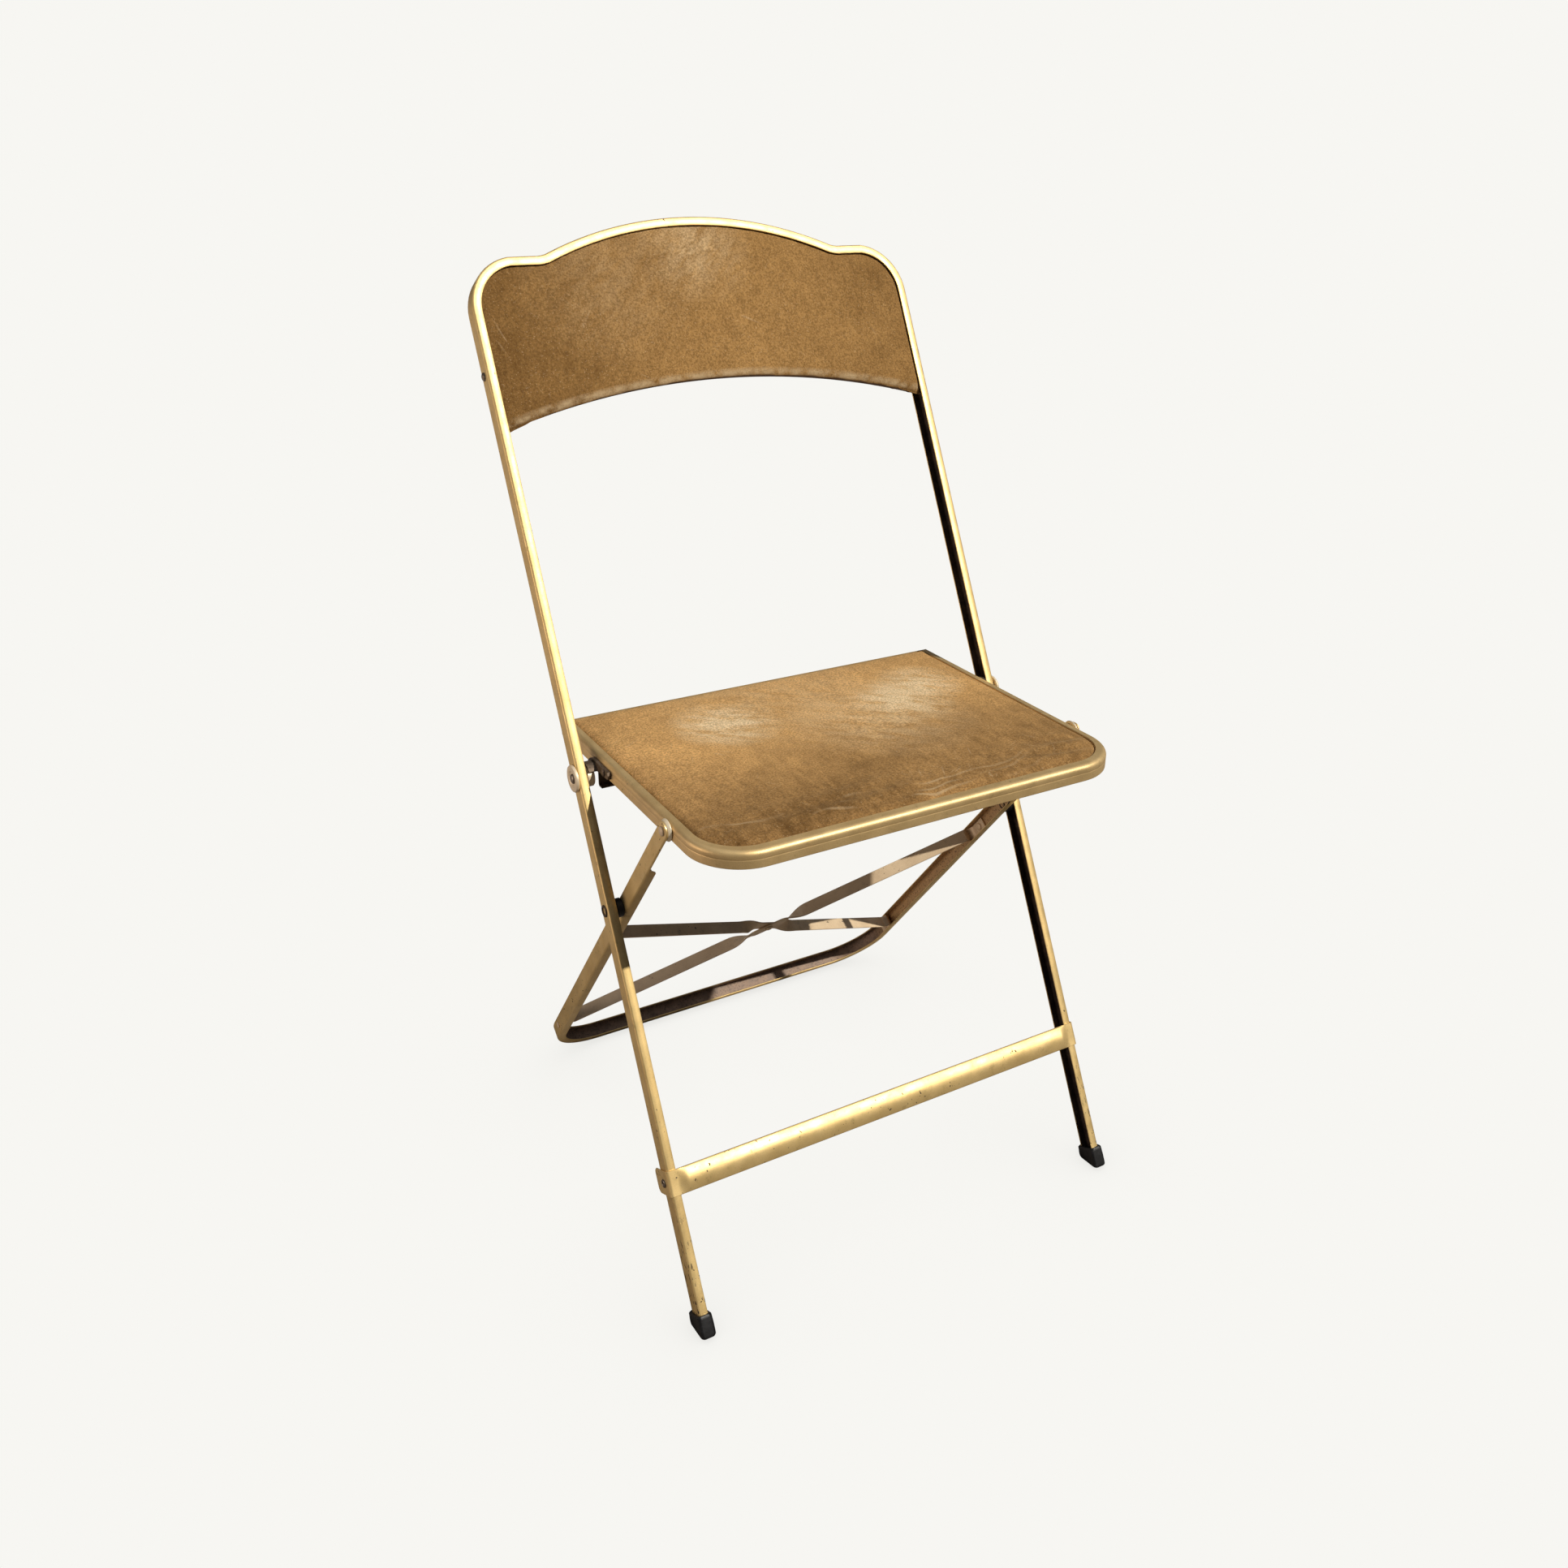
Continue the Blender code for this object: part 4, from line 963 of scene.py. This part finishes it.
def make_seat_cushion():
    """The padded velvet inside the rim: swollen by cloth, tucked under the lips and drawn into creases."""
    path = seat_path()
    squeeze = 2.0
    rings = []
    for inset, z in ((0.0058, -0.0044), (0.0046, -0.0030), (0.0056, -0.0010), (0.0085, 0.0022)):
        ring = [(*seat_inset(path, i, inset), (SEAT_TOP + z) * squeeze) for i in range(len(path))]
        rings.append([(x, min(y, SEAT_BACK - 0.0034), z) for x, y, z in ring])
    cushion = loose_solid("seat_velvet_cushion", rings, SEAT)
    inflate(cushion, 0.0030, 4.0, 2, squeeze)
    underside = SEAT_TOP - 0.0046
    least = 0.0030
    for vertex in cushion.data.vertices:
        x, y, z = vertex.co
        gap, way = rim_distance(x, y)
        if gap < least:
            x, y = x + way.x * (least - gap), y + way.y * (least - gap)
            gap = least
        lip = LIP_BACK if way.y < -0.5 else LIP_SIDE + (LIP_FRONT - LIP_SIDE) * max(0.0, way.y)
        if z > SEAT_TOP - 0.0030:
            # Pulls along the front edge and out of the front corners, and slow dips in the padding.
            open_share = clamped((gap - lip) / 0.012)
            near_front = max(0.0, 1 - (y + SEAT_FRONT - LIP_FRONT) / 0.060)
            bend = noise.noise(Vector((x * 9, y * 16, 9.0)))
            pull = math.sin((y + 0.10 * abs(x)) * 300 + 6.0 * bend) * max(0.0, 0.5 + bend)
            dip = noise.noise(Vector((x * 12, y * 12, 4.0))) * 0.0010
            lump = noise.noise(Vector((x * 45, y * 45, 2.0))) * 0.0003
            detail = (dip + lump + pull * 0.0020 * near_front) * open_share
            z = min(z + 0.0045, SEAT_TOP + cushion_top(gap, lip)) + detail
        vertex.co = (x, y, max(z, underside))
    finish_pad(cushion, SEAT_VELVET)
    show(cushion, "seat", "velvet", "seat_cushion")


def back_outline(inset, low):
    """The back panel's outline inside the frame, with its lower edge at the height low."""
    upper = [point for point in offset(main_path(14), inset) if point[1] > BACK_LOW - 0.001]
    corner = upper[0][0]
    radius = (corner**2 + BACK_RISE**2) / (2 * BACK_RISE)
    reach = math.degrees(math.asin(corner / radius))
    return upper[1:-1] + arc((0, low + BACK_RISE - radius), radius, 90 + reach, 90 - reach, 40)


def edge_distance(x, z):
    """How far a point of the back panel is inside the outer edge of the frame."""
    radius = arch_radius()
    side = FRAME_HALF - abs(x)
    if abs(x) <= NOTCH_X:
        top = radius - math.hypot(x, z - (ARCH_TOP - radius))
        return min(side, top)
    corner_x, corner_z = FRAME_HALF - SHOULDER_RADIUS, SHOULDER_LOW
    if abs(x) > corner_x and z > corner_z:
        return SHOULDER_RADIUS - math.hypot(abs(x) - corner_x, z - corner_z)
    return min(side, SHOULDER_HIGH - z)


def low_edge(x):
    """Height of the back panel's lower edge."""
    radius = (FRAME_HALF**2 + BACK_RISE**2) / (2 * BACK_RISE)
    return BACK_LOW + BACK_RISE - radius + math.sqrt(radius**2 - x * x)


def make_back_board():
    rings = []
    for inset, depth in ((0.0034, 0.0069), (0.0024, 0.0074), (0.0024, 0.0114), (0.0034, 0.0119)):
        rings.append([(x, depth, z) for x, z in back_outline(inset, BACK_LOW + 0.0026)])
    show(skin("back_board_skin", rings, MAIN, [BOARD]), "main", "board", "back_board")


def make_back_pads():
    """The velvet pad on the front of the panel, and the thin cloth on its rear."""
    squeeze = 3.5
    # The layer's front and rear, its look, and how far it swells at most.
    layers = {
        "back_pad": (0.0024, 0.0064, BACK_VELVET, 0.0012),
        "back_cover": (0.0127, 0.0144, COVER_CLOTH, 0.0004),
    }
    for node, (front, rear, look, cap) in layers.items():
        rings = []
        edges = ((0.0050, front), (0.0040, front + 0.0008), (0.0040, rear - 0.0006), (0.0050, rear))
        for inset, depth in edges:
            low = BACK_LOW + (inset - 0.0040 if node == "back_pad" else 0.0030)
            rings.append([(x, depth * squeeze, z) for x, z in back_outline(inset, low)])
        pad = loose_solid(f"{node}_cloth", rings, MAIN)
        inflate(pad, cap, 3.0, 1, squeeze)
        for vertex in pad.data.vertices:
            x, y, z = vertex.co
            lip = edge_distance(x, z) - FRAME_FLANGE
            over_edge = z - low_edge(x)
            if node == "back_cover":
                vertex.co.y = min(max(y, 0.0122), 0.0150)
                continue
            if y < 0.0045:
                # Held behind the flanges at the sides, rolled over the board at the bottom, full in between.
                held = 1 - math.exp(-max(0.0, lip) / 0.010)
                rolled = 1 - math.exp(-max(0.0, over_edge) / 0.0030)
                full = 0.0017 + 0.0042 * (1 - rolled) - 0.0010 * held * rolled
                ripple = noise.noise(Vector((x * 22, z * 22, 1.0))) * 0.0005
                ripple += noise.noise(Vector((x * 60, z * 30, 5.0))) * 0.0002
                y = max(y - 0.0012 * held, full) + ripple * held * rolled
            vertex.co.y = min(max(y, 0.0005), 0.0065)
        finish_pad(pad, look)
        show(pad, "main", "velvet", node)


# --- the setting


def paint_kept_nodes():
    """The seat board and the two saddles keep their CAD mesh and get a material; the saddles' dark one is
    painted shade.
    """
    for node, look in (("seat_board", BOARD), ("rest_saddle_l", SHADED_BRACKET), ("rest_saddle_r", SHADED_BRACKET)):
        paint(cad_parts[node], look)


PALE = (0.930, 0.922, 0.889)


class Tree:
    """Short calls for the node trees of the floor and the world."""

    def __init__(self, tree, output):
        self.tree = tree
        tree.nodes.clear()
        self.output = self.add(output)

    def add(self, kind):
        return self.tree.nodes.new(kind)

    def link(self, start, end):
        self.tree.links.new(start, end)

    def ramp(self, value, low, high, start, end):
        node = self.add("ShaderNodeMapRange")
        self.link(value, node.inputs[0])
        for i, number in enumerate((low, high, start, end)):
            node.inputs[i + 1].default_value = number
        return node.outputs[0]

    def place(self, kind, axis):
        """One coordinate of the shaded place or the direction looked in."""
        split = self.add("ShaderNodeSeparateXYZ")
        self.link(self.add("ShaderNodeTexCoord").outputs[kind], split.inputs[0])
        return split.outputs[axis]

    def finish(self, lit, seen):
        """What lights the chair, and what the camera sees instead."""
        choose = self.add("ShaderNodeMixShader")
        self.link(self.add("ShaderNodeLightPath").outputs["Is Camera Ray"], choose.inputs[0])
        self.link(lit, choose.inputs[1])
        self.link(seen, choose.inputs[2])
        self.link(choose.outputs[0], self.output.inputs[0])


def make_floor():
    """A plain pale floor with a faint contact shade. It lights the chair less than the camera sees of it."""
    mesh = bpy.data.meshes.new("floor")
    reach = 30
    corners = [(-reach, -reach, 0), (reach, -reach, 0), (reach, reach, 0), (-reach, reach, 0)]
    mesh.from_pydata(corners, [], [(0, 1, 2, 3)])
    floor = add_object("floor", mesh)
    made = bpy.data.materials.new("floor")
    made.use_nodes = True
    n = Tree(made.node_tree, "ShaderNodeOutputMaterial")
    glow = n.add("ShaderNodeEmission")
    glow.inputs["Color"].default_value = (*PALE, 1)
    contact = n.add("ShaderNodeAmbientOcclusion")
    contact.inputs["Distance"].default_value = 0.16
    n.link(n.ramp(contact.outputs["AO"], 0, 1, 0.80, 1.0), glow.inputs["Strength"])
    dim = n.add("ShaderNodeBsdfDiffuse")
    tint = n.add("ShaderNodeMix")
    tint.data_type = "RGBA"
    tint.inputs[6].default_value = (0.12, 0.10, 0.08, 1)
    tint.inputs[7].default_value = (0.38, 0.35, 0.34, 1)
    n.link(n.ramp(n.place("Object", "Y"), -0.4, 0.6, 0, 1), tint.inputs[0])
    n.link(tint.outputs[2], dim.inputs["Color"])
    n.finish(dim.outputs[0], glow.outputs[0])
    mesh.materials.append(made)


def make_world():
    """A soft sky, bright overhead and dim near the horizon, so that the metal shows dark reflections."""
    world = bpy.data.worlds.new("studio")
    bpy.context.scene.world = world
    world.use_nodes = True
    n = Tree(world.node_tree, "ShaderNodeOutputWorld")
    seen = n.add("ShaderNodeBackground")
    seen.inputs[0].default_value = (*PALE, 1)
    light = n.add("ShaderNodeBackground")
    light.inputs[0].default_value = (0.86, 0.91, 1.0, 1)
    n.link(n.ramp(n.place("Generated", "Z"), 0.48, 0.95, 0.030, 0.42), light.inputs[1])
    n.finish(light.outputs[0], seen.outputs[0])


def add_light(name, kind, place, target, energy, colour, size):
    """A light aimed at the target. size is a sun's angle or an area light's width."""
    data = bpy.data.lights.new(name, kind)
    data.energy = energy
    data.color = colour
    if kind == "SUN":
        data.angle = size
    else:
        data.size = size
    light = add_object(name, data)
    light.location = place
    aim = Vector(target) - Vector(place)
    light.rotation_euler = aim.to_track_quat("-Z", "Y").to_euler()


def make_lights():
    """A warm key from the front right, and a weak pinkish fill from the left."""
    azimuth, height = math.radians(30), math.radians(47)
    level = math.cos(height)
    toward = Vector((math.sin(azimuth) * level, -math.cos(azimuth) * level, math.sin(height)))
    add_light("key", "SUN", toward * 4, (0, 0, 0), 3.45, (1.0, 0.955, 0.87), math.radians(0.8))
    add_light("fill", "AREA", (-2.0, 0.40, 0.30), (0, 0, 0.30), 15, (1.0, 0.82, 0.69), 1.3)


def make_camera():
    """Above and to the left of the chair, rolled slightly, as a hand-held camera stands."""
    data = bpy.data.cameras.new("camera")
    camera = add_object("camera", data)
    ahead = Vector((0.4522, 0.7658, -0.4572)).normalized()
    up = Vector((0.1957, 0.4149, 0.8886))
    right = ahead.cross(up).normalized()
    up = right.cross(ahead)
    turn = Matrix((right, up, -ahead)).transposed().to_4x4()
    camera.matrix_world = Matrix.Translation((-0.5549, -0.9153, 0.9329)) @ turn
    data.sensor_width = 36
    data.lens = 31.12
    data.shift_x = -0.0012
    data.shift_y = -0.0244
    bpy.context.scene.camera = camera


make_main_frame()
make_foot_caps()
make_stretcher()
make_main_fittings()
make_rear_frame()
make_brace()
make_seat_rim()
make_seat_fittings()
make_crossbar()
make_seat_cushion()
make_back_board()
make_back_pads()
paint_kept_nodes()
make_floor()
make_world()
make_lights()
make_camera()
bpy.context.scene.view_settings.view_transform = "Standard"
